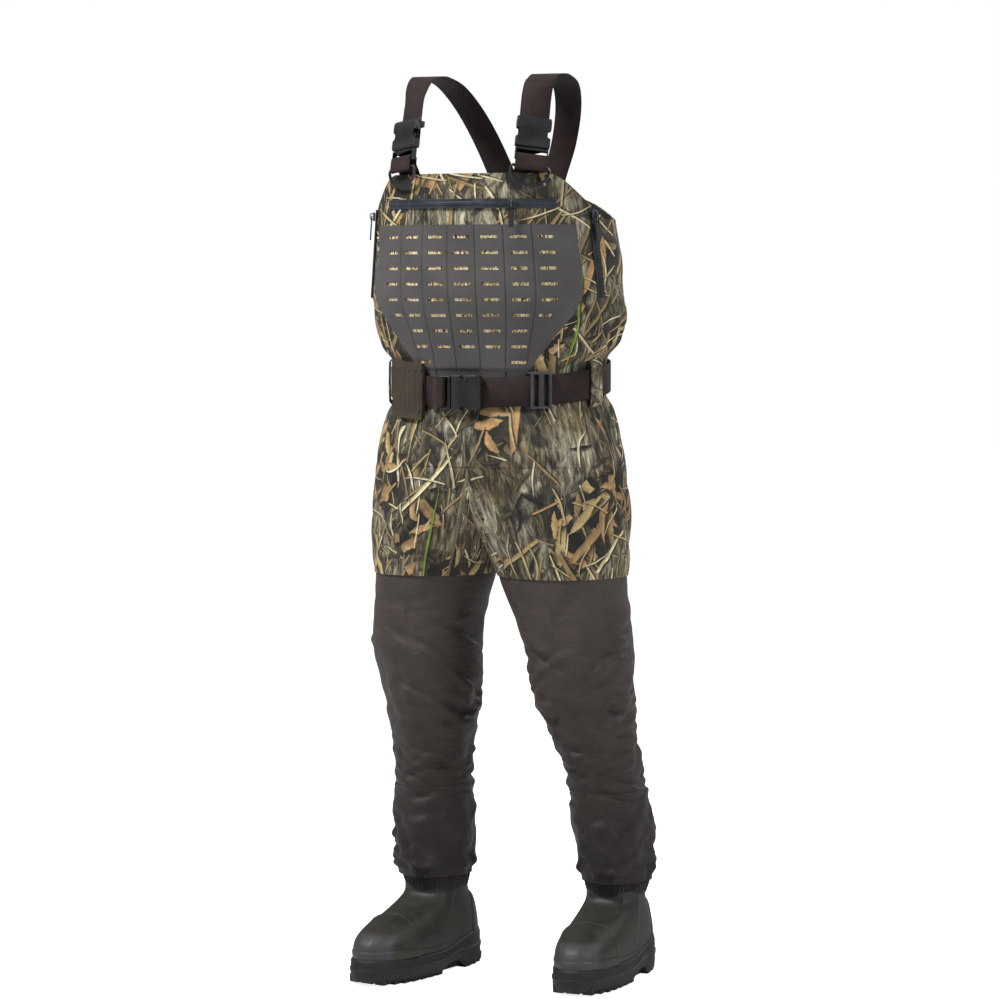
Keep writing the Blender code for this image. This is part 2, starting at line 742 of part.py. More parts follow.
def side_zip(side):
    """A straight zip on the hand-warmer pocket at the side of the bib."""
    sign = SIDE_SIGN[side]
    low = Vector(torso_point(sign * SIDE_ZIP_ANGLE, SIDE_ZIP_LOW, 0.0035))
    high = Vector(torso_point(sign * SIDE_ZIP_ANGLE, SIDE_ZIP_HIGH, 0.0035))
    up = (high - low).normalized()
    yaw = facing(sign * SIDE_ZIP_ANGLE, 0.213, 0.157)
    level = Vector((math.cos(yaw), math.sin(yaw), 0.0))
    out = level.cross(up).normalized()
    across = up.cross(out)
    half = (high - low).length / 2
    tape = frame_at((low + high) / 2, across, up, out)
    section = [(-0.008, 0.0), (0.008, 0.0), (0.008, 0.0015)]
    section += [(0.0024, 0.0015), (0.0020, 0.0029), (-0.0020, 0.0029)]
    section += [(-0.0024, 0.0015), (-0.008, 0.0015)]
    points, faces = extrusion(section, half)
    solid(f"{side}_pocket_zip_tape", ([(-y, x, z) for x, y, z in points], faces), "zip_tape", frame=tape)
    top = tape @ Matrix.Translation((0.0, half - 0.012, 0.0))
    zip_slider(f"{side}_pocket_zip_slider", top, None)
    zip_puller(f"{side}_pocket_zip_puller", puller_frame(top), None)


# Buckles. Local axes: Y along the webbing from the mouth into the socket, Z outwards.


def round_cutter(x, y, radius, sides=16):
    """A round cutter through a buckle's whole thickness."""
    turns = [2 * math.pi * k / sides for k in range(sides)]
    ring = [(x + radius * math.cos(turn), y + radius * math.sin(turn)) for turn in turns]
    points = [(*point, height) for height in (-0.02, 0.03) for point in ring]
    faces = [list(range(sides)), [sides + k for k in range(sides)]]
    faces += [[k, (k + 1) % sides, (k + 1) % sides + sides, k + sides] for k in range(sides)]
    return points, faces


def buckle_socket(name, frame, parent=None):
    """The half with the pocket, a round notch at each prong, and a keeper behind it for the webbing."""
    body = [(0.0, -0.0015), (0.0, 0.0105), (0.004, 0.0125)]
    body += [(0.046, 0.0125), (0.052, 0.0080), (0.052, -0.0015)]
    socket = solid(name, extrusion(body, 0.029), "black_plastic", parent, frame)
    soften(socket, 0.0012)
    keeper = extrusion([(0.038, -0.0082), (0.038, 0.0), (0.048, 0.0), (0.048, -0.0082)], 0.0288)
    join(socket, f"{name}_keeper", keeper)
    cut(socket, f"{name}_slot", box((-0.0262, 0.030, -0.0064), (0.0262, 0.060, -0.0015)))
    cut(socket, f"{name}_pocket", box((-0.0235, -0.010, 0.0012), (0.0235, 0.036, 0.0098)))
    for side, sign in (("left", -1), ("right", 1)):
        low, high = sorted((sign * 0.0200, sign * 0.0320))
        cut(socket, f"{name}_{side}_window", box((low, 0.016, 0.0022), (high, 0.032, 0.0088)))
        cut(socket, f"{name}_{side}_notch", round_cutter(sign * 0.0300, 0.024, 0.0078))


def buckle_plug(name, frame, parent=None):
    """The half with two cross bars for the webbing and a guide tongue."""
    shape = box((-0.0275, -0.022, 0.0010), (0.0275, -0.0012, 0.0105))
    plug = solid(name, shape, "black_plastic", parent, frame)
    soften(plug, 0.0012)
    cut(plug, f"{name}_opening", box((-0.0258, -0.0160, -0.01), (0.0258, -0.0060, 0.02)))
    join(plug, f"{name}_tongue", box((-0.0045, -0.0030, 0.0030), (0.0045, 0.0140, 0.0080)))


def buckle_prong(name, sign, frame, parent=None):
    """One squeeze prong, a separate leaf that pivots at its root beside the tongue."""
    outline = [(0.0110, 0.0004), (0.0165, 0.0004), (0.0175, 0.0180), (0.0228, 0.0200), (0.0222, 0.0260)]
    outline += [(0.0175, 0.0310), (0.0130, 0.0310), (0.0110, 0.0180)]
    root = Vector((sign * 0.0138, 0.0004, 0.0))
    points = [(sign * x - root.x, y - root.y, z) for z in (0.0028, 0.0082) for x, y in outline]
    count = len(outline)
    faces = [list(range(count)), [count + k for k in range(count)]]
    faces += [[k, (k + 1) % count, (k + 1) % count + count, k + count] for k in range(count)]
    solid(name, (points, faces), "black_plastic", parent, frame @ Matrix.Translation(root))


# The straps.


def strap_frame(side):
    """The shoulder buckle's axes, standing on the bib's top edge and leaning back over the chest."""
    sign = SIDE_SIGN[side]
    a, b = (smooth(BIB_FRONT, TORSO, column) for column in (1, 2))
    angle = sign * math.degrees(math.asin(STRAP_X / a))
    yaw = facing(angle, a, b)
    lean = math.radians(STRAP_LEAN)
    up = Vector((0.0, math.sin(lean), math.cos(lean)))
    level = Vector((math.sin(yaw), -math.cos(yaw), 0.0))
    out = (level - up * level.dot(up)).normalized()
    across = up.cross(out)
    edge = Vector(torso_point(angle, BIB_FRONT))
    return frame_at(edge + 0.0045 * out + 0.041 * up, across, up, out)


def strap_path(side, frame):
    """The middle of the webbing's inner face and its width direction, from the buckle to the yoke."""
    sign = SIDE_SIGN[side]
    across, up, out = (Vector(frame.col[k][:3]) for k in range(3))
    start = frame.translation - 0.005 * out
    centres, widths = [], []
    for along in (0.004, 0.030, 0.060, STRAP_STRAIGHT):
        centres.append(start + along * up)
        widths.append(across)
    bend = centres[-1]
    yaw = math.atan2(across.y, across.x)
    rise = SHOULDER_TOP - bend.z
    radius = rise / (1 - math.sin(math.radians(STRAP_LEAN)))
    for share in (0.25, 0.5, 0.75, 1.0):
        lean = math.radians(STRAP_LEAN + (90 - STRAP_LEAN) * share)
        lift = radius * (math.cos(math.radians(STRAP_LEAN)) - math.cos(lean))
        height = radius * (math.sin(lean) - math.sin(math.radians(STRAP_LEAN)))
        centres.append(Vector((bend.x, bend.y + lift, bend.z + height)))
        turn = yaw * (1 - share)
        widths.append(Vector((math.cos(turn), math.sin(turn), 0.0)))
    top = centres[-1]
    centres.append(top + Vector((0.0, 0.040, 0.0)))
    widths.append(Vector((1.0, 0.0, 0.0)))
    back = centres[-1]
    foot = Vector(torso_point(180 - sign * 12.0, BIB_BACK + 0.015, 0.004))
    for share in (0.25, 0.5, 0.75):
        turn = math.radians(90 * share)
        x = back.x + (foot.x - back.x) * (1 - math.cos(turn))
        y = back.y + (foot.y - back.y) * math.sin(turn)
        z = foot.z + (back.z - foot.z) * math.cos(turn)
        centres.append(Vector((x, y, z)))
        widths.append(Vector((1.0, -sign * 0.20 * share, 0.0)).normalized())
    for height, out_by in ((BIB_BACK + 0.015, 0.004), (1.318, 0.0022), (1.276, 0.0022)):
        centres.append(Vector(torso_point(180 - sign * 12.0, height, out_by)))
        widths.append(Vector((1.0, -sign * 0.16, 0.0)).normalized())
    return centres, widths


def shoulder_strap(side):
    frame = strap_frame(side)
    centres, widths = strap_path(side, frame)
    inward = [tuple(-w) for w in widths]
    shape = ribbon([tuple(c) for c in centres], inward, WEBBING_WIDTH, -WEBBING)
    solid(f"{side}_shoulder_strap", shape, "webbing")


def strap_tab(side, frame):
    """The sewn webbing tab: from inside the bib, through the plug, and folded round the D-ring."""
    path = [(-0.088, -0.0218), (-0.066, -0.0166), (-0.047, -0.0120), (-0.0395, -0.0105), (-0.0340, -0.0065)]
    path += [(-0.0270, -0.0014)]
    path += [(-0.0165, -0.0012), (-0.0125, 0.0030), (-0.0125, 0.0085), (-0.0150, 0.0122), (-0.0200, 0.0128)]
    path += [(-0.0330, 0.0126), (-0.0372, 0.0115), (-0.0390, 0.0085), (-0.0372, 0.0055), (-0.0330, 0.0044)]
    path += [(-0.0260, 0.0044)]
    solid(f"{side}_strap_tab", extrusion(thickened(path, 0.0014), WEBBING_WIDTH / 2), "webbing", frame=frame)


def d_ring(side, frame):
    """A round rod ring hanging from the tab's fold. Its origin is on the straight bar's axis."""
    half, drop = 0.0325, 0.030
    path = [(half - 0.003, 0.0, 0.0), (-half + 0.003, 0.0, 0.0)]
    for k in range(11):
        turn = math.pi * k / 10
        path.append((-half * math.cos(turn), -0.004 - (drop - 0.004) * math.sin(turn) ** 0.8, 0.0))
    path = path[1:] + path[:1]
    shape = swept_loop(path, (0.0, 0.0, 1.0), 0.0026)
    bar = frame @ Matrix.Translation((0.0, -0.0338, 0.0085))
    hanging = bar @ Matrix.Rotation(math.radians(D_RING_LEAN), 4, "X")
    solid(f"{side}_d_ring", shape, "black_plastic", frame=hanging)


def shoulder_buckle(side):
    frame = strap_frame(side)
    buckle_socket(f"{side}_strap_buckle_socket", frame)
    buckle_plug(f"{side}_strap_buckle_plug", frame)
    for place, sign in (("inner", -SIDE_SIGN[side]), ("outer", SIDE_SIGN[side])):
        buckle_prong(f"{side}_strap_buckle_{place}_prong", sign, frame)
    strap_tab(side, frame)
    d_ring(side, frame)


def back_yoke():
    """The patch that covers the strap ends on the back of the bib."""
    angles = np.linspace(153, 207, 11)
    heights = np.linspace(1.262, 1.334, 5)
    outer, inner = (torso_grid(angles, heights, out) for out in (0.0088, 0.0068))
    solid("back_yoke", between(outer, inner, closed=False), "camouflage")


# The belt.


def belt_centre():
    """The centre of the arc that the front of the belt follows."""
    radius = BELT[0] ** 2 / BELT[1]
    return Vector((0.0, radius - BELT[1], BELT_FRONT)), radius


def belt_buckle_frame():
    """The belt buckle lies across the front, with its mouth towards the wearer's right."""
    centre, radius = belt_centre()
    middle = 0.026
    place = centre + Vector((-middle, -(radius + 0.005), 0.0))
    return frame_at(place, (0, 0, -1), (1, 0, 0), (0, -1, 0))


def belt_webbing():
    """The belt: from just behind the plug, round the back, to the tail behind the socket."""
    angles = np.linspace(BELT_TAIL, 360.0 + BELT_END, 42)
    lifts = (-WEBBING_WIDTH / 2, 0.0, WEBBING_WIDTH / 2)
    outer = np.array([[belt_point(a, lift, WEBBING) for a in angles] for lift in lifts])
    inner = np.array([[belt_point(a, lift) for a in angles] for lift in lifts])
    solid("belt_webbing", between(outer, inner, closed=False), "webbing")


def belt_tri_glide():
    """The slide adjuster on the belt: a frame round the webbing. It slides about the waist's local curve."""
    angle = 38.0
    yaw = facing(angle, *BELT)
    out = Vector((math.sin(yaw), -math.cos(yaw), 0.0))
    along = Vector((math.cos(yaw), math.sin(yaw), 0.0))
    turn = math.radians(angle)
    bend = (BELT[0] * math.cos(turn)) ** 2 + (BELT[1] * math.sin(turn)) ** 2
    radius = bend**1.5 / (BELT[0] * BELT[1])
    place = Vector(belt_point(angle, 0.0))
    centre = pivot("tri_glide_centre", place - radius * out)
    frame = frame_at(place, along, (0, 0, 1), out)
    shape = box((-0.018, -0.031, -0.0036), (0.018, 0.031, 0.0068))
    glide = solid("belt_tri_glide", shape, "grey_metal", centre, frame)
    soften(glide, 0.0012)
    cut(glide, "tri_glide_tunnel", box((-0.030, -0.0272, -0.0022), (0.030, 0.0272, 0.0042)))
    for name, low, high in (("left", -0.0125, -0.0045), ("right", 0.0045, 0.0125)):
        cut(glide, f"tri_glide_{name}_opening", box((low, -0.0262, 0.002), (high, 0.0262, 0.02)))


def belt_loop(name, angle):
    """A fabric loop that holds the belt to the bib."""
    half = 5.5
    angles = [angle - half, angle, angle + half]
    profile = ((-0.040, -0.0015), (-0.033, 0.0042), (0.0, 0.0048), (0.033, 0.0042), (0.040, -0.0015))
    outer = np.array([[belt_point(a, lift, out + 0.0018) for a in angles] for lift, out in profile])
    inner = np.array([[belt_point(a, lift, out) for a in angles] for lift, out in profile])
    solid(name, between(outer, inner, closed=False), "camouflage")


def shell_holder():
    """The ribbed elastic shell pouch on the belt, at the wearer's right."""
    ribs = 7
    first, last = -53.0, -25.5
    angles = np.linspace(first, last, 2 * ribs + 1)
    lifts = (-0.050, -0.040, -0.036, 0.030, 0.034, 0.046)

    def outer(row, column):
        banded = row in (0, 1, 4, 5)
        return 0.0110 if banded else (0.0125 if column % 2 else 0.0095)

    shape = [[belt_point(a, lift, outer(r, c)) for c, a in enumerate(angles)] for r, lift in enumerate(lifts)]
    inner = np.array([[belt_point(a, lift, 0.0032) for a in angles] for lift in lifts])
    solid("shell_holder", between(np.array(shape), inner, closed=False), "brown_nylon")


def belt_end_fold(frame):
    """The belt's fixed end, folded through the plug and sewn down on the belt."""
    radius = belt_centre()[1]

    def webbing_face(y):
        return -0.003 - (y - 0.026) ** 2 / (2 * radius)

    path = [(-0.030, -0.0030), (-0.0162, -0.0014), (-0.0125, 0.0030), (-0.0125, 0.0085), (-0.0150, 0.0122)]
    path += [(-0.0220, 0.0124), (-0.0270, 0.0095), (-0.0320, 0.0025), (-0.0370, -0.0050)]
    path += [(y, webbing_face(y) + 0.0022) for y in (-0.042, -0.045, -0.048)]
    solid("belt_end_fold", extrusion(thickened(path, 0.0014), WEBBING_WIDTH / 2), "webbing", frame=frame)


def belt():
    belt_webbing()
    belt_tri_glide()
    frame = belt_buckle_frame()
    centre = pivot("belt_buckle_centre", belt_centre()[0])
    buckle_socket("belt_buckle_socket", frame, centre)
    buckle_plug("belt_buckle_plug", frame)
    for place, sign in (("upper", -1), ("lower", 1)):
        buckle_prong(f"belt_buckle_{place}_prong", sign, frame)
    belt_end_fold(frame)
    for name, angle in (("left_belt_loop", 75), ("right_belt_loop", -75), ("back_belt_loop", 180)):
        belt_loop(name, angle)
    shell_holder()


def leg(side):
    """One leg with its hip, knee and ankle pivots."""
    knee_x, knee_y = (smooth(KNEE_HEIGHT, LEGS[side], column) for column in (1, 2))
    ankle_x, ankle_y = (smooth(CUFF_BOTTOM, LEGS[side], column) for column in (1, 2))
    hip = pivot(f"{side}_hip", (knee_x, 0.010, HIP_HEIGHT))
    knee = pivot(f"{side}_knee_pivot", (knee_x, knee_y, KNEE_HEIGHT), hip)
    ankle = pivot(f"{side}_ankle", (ankle_x, ankle_y, ANKLE_HEIGHT), knee)
    seat_half(side, hip)
    trouser_leg(side, hip, knee, ankle)
    for piece in (boot_upper, toe_cap, outsole, insole, boot_liner):
        piece(side, ankle)


def main():
    clear_scene()
    garment = bpy.data.objects.new(GARMENT, None)
    garment.location = MIDDLE_SHIFT
    bpy.context.scene.collection.objects.link(garment)
    bib()
    chest_panel()
    inner_pocket()
    chest_zip()
    back_yoke()
    belt()
    for side in ("right", "left"):
        leg(side)
        side_zip(side)
        shoulder_strap(side)
        shoulder_buckle(side)


main()
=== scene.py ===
import json
import math

import bmesh
import bpy
import numpy as np
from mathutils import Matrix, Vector, noise

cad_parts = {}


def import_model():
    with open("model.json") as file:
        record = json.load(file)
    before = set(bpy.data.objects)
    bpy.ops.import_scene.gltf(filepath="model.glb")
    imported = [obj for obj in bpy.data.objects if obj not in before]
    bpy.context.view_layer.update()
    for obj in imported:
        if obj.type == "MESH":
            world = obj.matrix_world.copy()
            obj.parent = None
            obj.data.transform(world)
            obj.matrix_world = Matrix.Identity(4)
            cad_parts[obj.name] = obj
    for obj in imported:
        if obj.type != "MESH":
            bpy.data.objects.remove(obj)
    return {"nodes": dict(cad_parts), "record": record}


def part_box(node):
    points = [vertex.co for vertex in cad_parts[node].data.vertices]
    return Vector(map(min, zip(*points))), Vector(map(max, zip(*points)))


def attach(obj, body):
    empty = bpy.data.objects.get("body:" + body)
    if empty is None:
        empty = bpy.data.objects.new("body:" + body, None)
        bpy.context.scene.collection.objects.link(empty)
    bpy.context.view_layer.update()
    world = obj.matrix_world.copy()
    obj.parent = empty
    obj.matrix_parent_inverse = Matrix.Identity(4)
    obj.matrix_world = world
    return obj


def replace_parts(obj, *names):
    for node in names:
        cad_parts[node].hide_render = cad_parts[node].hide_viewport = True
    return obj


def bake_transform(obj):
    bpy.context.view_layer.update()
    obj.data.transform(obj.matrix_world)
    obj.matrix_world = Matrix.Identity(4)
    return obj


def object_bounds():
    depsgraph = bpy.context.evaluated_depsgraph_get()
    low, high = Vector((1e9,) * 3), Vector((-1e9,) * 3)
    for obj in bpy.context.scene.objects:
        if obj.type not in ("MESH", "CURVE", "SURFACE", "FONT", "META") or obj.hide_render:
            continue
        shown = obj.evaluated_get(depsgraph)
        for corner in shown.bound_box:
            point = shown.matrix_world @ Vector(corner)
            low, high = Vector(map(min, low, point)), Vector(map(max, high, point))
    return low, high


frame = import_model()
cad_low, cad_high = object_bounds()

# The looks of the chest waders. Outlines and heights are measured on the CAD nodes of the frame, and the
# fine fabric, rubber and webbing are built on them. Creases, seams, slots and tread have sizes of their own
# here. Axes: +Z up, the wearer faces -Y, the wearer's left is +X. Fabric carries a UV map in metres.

SIDES = ("right", "left")
SIGN = {"right": -1.0, "left": 1.0}
LAMINATE = 0.0022
WEBBING_WIDTH, WEBBING_THICKNESS = 0.050, 0.002

# The legs' creases are designed ones, with this share of cloth that has settled over this many frames.
SETTLED_SHARE, SETTLING_FRAMES = 0.25, 26

# How much cloth goes once round, for the fabric's map: the torso, a leg and a boot.
GIRTH, LEG_GIRTH, BOOT_GIRTH = 1.18, 0.62, 0.6


# Measuring the frame.


def points_of(node):
    mesh = frame["nodes"][node].data
    flat = np.zeros(len(mesh.vertices) * 3)
    mesh.vertices.foreach_get("co", flat)
    return flat.reshape(-1, 3)


def edges_of(node):
    mesh = frame["nodes"][node].data
    flat = np.zeros(len(mesh.edges) * 2, np.int64)
    mesh.edges.foreach_get("vertices", flat)
    return flat.reshape(-1, 2)


def crossings(points, edges, height):
    """Where a mesh's edges pass through a height."""
    low, high = points[edges[:, 0]], points[edges[:, 1]]
    through = (low[:, 2] - height) * (high[:, 2] - height) < 0
    low, high = low[through], high[through]
    share = (height - low[:, 2]) / (high[:, 2] - low[:, 2])
    return low + share[:, None] * (high - low)


def section(node, height):
    """The outline of an oval tube at a height: centre x, centre y, half width, half depth."""
    cut = crossings(points_of(node), edges_of(node), height)
    low, high = cut.min(0), cut.max(0)
    return np.array([*(low + high)[:2] / 2, *(high - low)[:2] / 2])


def joint(name):
    return next(j for j in frame["record"]["behaviour"]["joints"] if j["name"] == name)


class Tube:
    """An oval tube whose outline varies smoothly with height, measured on one or more nodes."""

    def __init__(self, nodes, per_node=5):
        rows = []
        for node in nodes:
            low, high = (corner.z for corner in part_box(node))
            margin = 0.02 * (high - low)
            for height in np.linspace(low + margin, high - margin, per_node):
                rows.append([height, *section(node, height)])
        self.table = np.array(sorted(rows))

    def at(self, height):
        table = self.table
        fine = np.linspace(height - 0.012, height + 0.012, 5)
        return np.array([np.interp(fine, table[:, 0], table[:, k]).mean() for k in range(1, 5)])

    def point(self, turn, height, out=0.0):
        x, y, a, b = self.at(height)
        return np.array([x + (a + out) * math.sin(turn), y - (b + out) * math.cos(turn), height])


def smoothstep(value, low, high):
    t = np.clip((np.asarray(value, float) - low) / (high - low), 0.0, 1.0)
    return t * t * (3 - 2 * t)


def edge(value, place, half=0.001):
    """A sharp step from 0 to 1."""
    return smoothstep(value, place - half, place + half)


def ridge(value, place, width):
    """A bell, 1 high at its place."""
    return np.exp(-(((value - place) / width) ** 2))


def wrapped(angle):
    """An angle brought within half a turn of zero."""
    return (angle + math.pi) % (2 * math.pi) - math.pi


def ripple(u, v, seed, pitch, slant=0.0, sharp=2.0):
    """Soft uneven creases, from 0 to 1, running across v and leaning by the slant."""
    rng = np.random.default_rng(seed)
    total = np.zeros(np.broadcast(u, v).shape)
    for octave in range(4):
        phase, bend, side = rng.uniform(0, 2 * math.pi, 3)
        rate = 2 * math.pi / pitch * (0.6 + 0.35 * octave)
        warp = 0.9 * np.sin(u * (9 + 5 * octave) + bend) + 0.5 * np.sin(u * 23 + v * 9 + side)
        total += np.sin(v * rate + u * slant * rate + warp + phase) / (1 + 0.6 * octave)
    return (0.5 + 0.5 * np.tanh(total)) ** sharp


# Making meshes.


def new_object(name, mesh):
    obj = bpy.data.objects.new(name, mesh)
    bpy.context.scene.collection.objects.link(obj)
    return obj


def cell(columns, r, c):
    """The corners of one cell in a grid of points. After the last column comes the first."""
    after = (c + 1) % columns
    return r * columns + c, r * columns + after, (r + 1) * columns + after, (r + 1) * columns + c


def grid_object(name, grid, cloth, closed=False, holes=()):
    """A sheet from a grid of points. The cloth grid holds each point's place on the cloth, in metres."""
    rows, columns = grid.shape[:2]
    across = columns if closed else columns - 1
    cells = [(r, c) for r in range(rows - 1) for c in range(across) if (r, c) not in holes]
    mesh = bpy.data.meshes.new(name)
    mesh.from_pydata([tuple(p) for p in grid.reshape(-1, 3)], [], [cell(columns, r, c) for r, c in cells])
    layer = mesh.uv_layers.new(name="cloth")
    values = [cloth[r + up][c + side] for r, c in cells for up, side in ((0, 0), (0, 1), (1, 1), (1, 0))]
    layer.data.foreach_set("uv", np.array(values, np.float32).ravel())
    mesh.shade_smooth()
    return new_object(name, mesh)


def cloth_grid(columns, width, heights):
    """Cloth places for a grid: across in equal steps over the width, and up by height."""
    return [[(u, v) for u in np.linspace(0, width, columns + 1)] for v in heights]


def rows_of(obj, rows):
    """A sheet's points, as a grid."""
    return np.array([v.co for v in obj.data.vertices]).reshape(rows, -1, 3)


def around_middle(points):
    """From the middle of each row to its points, and how far."""
    away = points - points.mean(axis=1, keepdims=True)
    return away, np.linalg.norm(away, axis=2, keepdims=True)


def apply_modifiers(obj):
    graph = bpy.context.evaluated_depsgraph_get()
    made = bpy.data.meshes.new_from_object(obj.evaluated_get(graph), depsgraph=graph)
    made.name = obj.name
    obj.modifiers.clear()
    obj.data = made
    return obj


def thicken(obj, thickness=LAMINATE, lined=False):
    """Gives a sheet its thickness, on the inner side, with a closed rim and maybe a dark lining."""
    solid = obj.modifiers.new("laminate", "SOLIDIFY")
    solid.thickness = thickness
    solid.offset = -1.0
    solid.use_even_offset = False
    if lined:
        # The first slot only holds the place for the outer material, which wear() puts there.
        for _ in range(2):
            obj.data.materials.append(MATERIALS["lining"])
        solid.material_offset = 1
    apply_modifiers(obj)
    obj.data.set_sharp_from_angle(angle=math.radians(60))
    return obj


def add_bevel(obj, width, degrees):
    bevel = obj.modifiers.new("bevel", "BEVEL")
    bevel.width, bevel.segments = width, 2
    bevel.limit_method, bevel.angle_limit = "ANGLE", math.radians(degrees)


def face_outward(mesh, fill=False):
    """Turns a mesh's faces outward, after filling its open ends where asked."""
    bm = bmesh.new()
    bm.from_mesh(mesh)
    if fill:
        bmesh.ops.holes_fill(bm, edges=[e for e in bm.edges if e.is_boundary])
    bmesh.ops.recalc_face_normals(bm, faces=bm.faces)
    bm.to_mesh(mesh)
    bm.free()


def joined(name, parts):
    """One object from several closed shapes."""
    points, faces = [], []
    for these, sides in parts:
        start = len(points)
        points += [tuple(p) for p in these]
        faces += [tuple(k + start for k in side) for side in sides]
    mesh = bpy.data.meshes.new(name)
    mesh.from_pydata(points, [], faces)
    face_outward(mesh)
    return new_object(name, mesh)


# Materials.


def srgb(red, green, blue):
    """A screen colour, 0 to 255, as a linear colour."""
    parts = [c / 255 for c in (red, green, blue)]
    return tuple(c / 12.92 if c <= 0.04045 else ((c + 0.055) / 1.055) ** 2.4 for c in parts) + (1.0,)


class Graph:
    """Short calls for building a node tree."""

    def __init__(self, tree):
        self.tree = tree

    def plug(self, node, inputs):
        """Links or sets a node's inputs. A value of None leaves the node's own."""
        for key, value in inputs.items():
            if isinstance(value, bpy.types.NodeSocket):
                self.tree.links.new(value, node.inputs[key])
            elif value is not None:
                node.inputs[key].default_value = value

    def add(self, kind, inputs=None, **settings):
        node = self.tree.nodes.new(kind)
        for key, value in settings.items():
            setattr(node, key, value)
        self.plug(node, inputs or {})
        return node

    def math(self, operation, a, b=None, c=None, clamp=False):
        inputs = {0: a, 1: b, 2: c}
        return self.add("ShaderNodeMath", inputs, operation=operation, use_clamp=clamp).outputs[0]

    def times(self, a, b):
        return self.math("MULTIPLY", a, b)

    def plus(self, a, b):
        return self.math("ADD", a, b)

    def minus(self, a, b, clamp=False):
        return self.math("SUBTRACT", a, b, clamp=clamp)

    def over(self, a, b, clamp=False):
        return self.math("DIVIDE", a, b, clamp=clamp)

    def times_plus(self, a, b, c):
        return self.math("MULTIPLY_ADD", a, b, c)

    def waves(self, value, pitch):
        """A sine wave along a value, from -1 to 1."""
        return self.math("SINE", self.times(value, 2 * math.pi / pitch))

    def vector(self, operation, a, b=None, scale=None):
        return self.add("ShaderNodeVectorMath", {0: a, 1: b, 3: scale}, operation=operation).outputs[0]

    def mix(self, factor, a, b, blend="MIX"):
        inputs = {0: factor, 6: a, 7: b}
        return self.add("ShaderNodeMix", inputs, data_type="RGBA", blend_type=blend).outputs[2]

    def ramp(self, value, stops):
        node = self.add("ShaderNodeValToRGB", {"Fac": value})
        elements = node.color_ramp.elements
        for k, (place, colour) in enumerate(stops):
            element = elements[k] if k < 2 else elements.new(place)
            element.position = place
            element.color = colour
        return node.outputs[0]

    def noise(self, vector, scale, detail=3.0, rough=0.5, distortion=0.0):
        inputs = {"Vector": vector, "Scale": scale, "Detail": detail, "Roughness": rough}
        inputs["Distortion"] = distortion
        return self.add("ShaderNodeTexNoise", inputs).outputs[0]

    def range(self, value, low, high, to_low=0.0, to_high=1.0):
        inputs = {"Value": value, "From Min": low, "From Max": high, "To Min": to_low, "To Max": to_high}
        return self.add("ShaderNodeMapRange", inputs).outputs[0]

    def joined(self, x, y, z=None):
        return self.add("ShaderNodeCombineXYZ", {0: x, 1: y, 2: z}).outputs[0]

    def split(self, vector):
        return self.add("ShaderNodeSeparateXYZ", {"Vector": vector}).outputs

    def seen(self):
        """1 where the camera looks straight at it, and 0 where it only lights or reflects."""
        return self.add("ShaderNodeLightPath").outputs["Is Camera Ray"]

    def cloth(self):
        return self.add("ShaderNodeUVMap", uv_map="cloth").outputs[0]

    def place(self):
        return self.add("ShaderNodeTexCoord").outputs["Object"]

    def scaled(self, vector, factors):
        return self.vector("MULTIPLY", vector, factors)

    def bump(self, height, strength, distance, normal=None):
        inputs = {"Height": height, "Strength": strength, "Distance": distance, "Normal": normal}
        return self.add("ShaderNodeBump", inputs).outputs[0]


def material(name):
    """A new material with its graph and its main shader."""
    made = bpy.data.materials.new(name)
    made.use_nodes = True
    graph = Graph(made.node_tree)
    return made, graph, made.node_tree.nodes["Principled BSDF"]


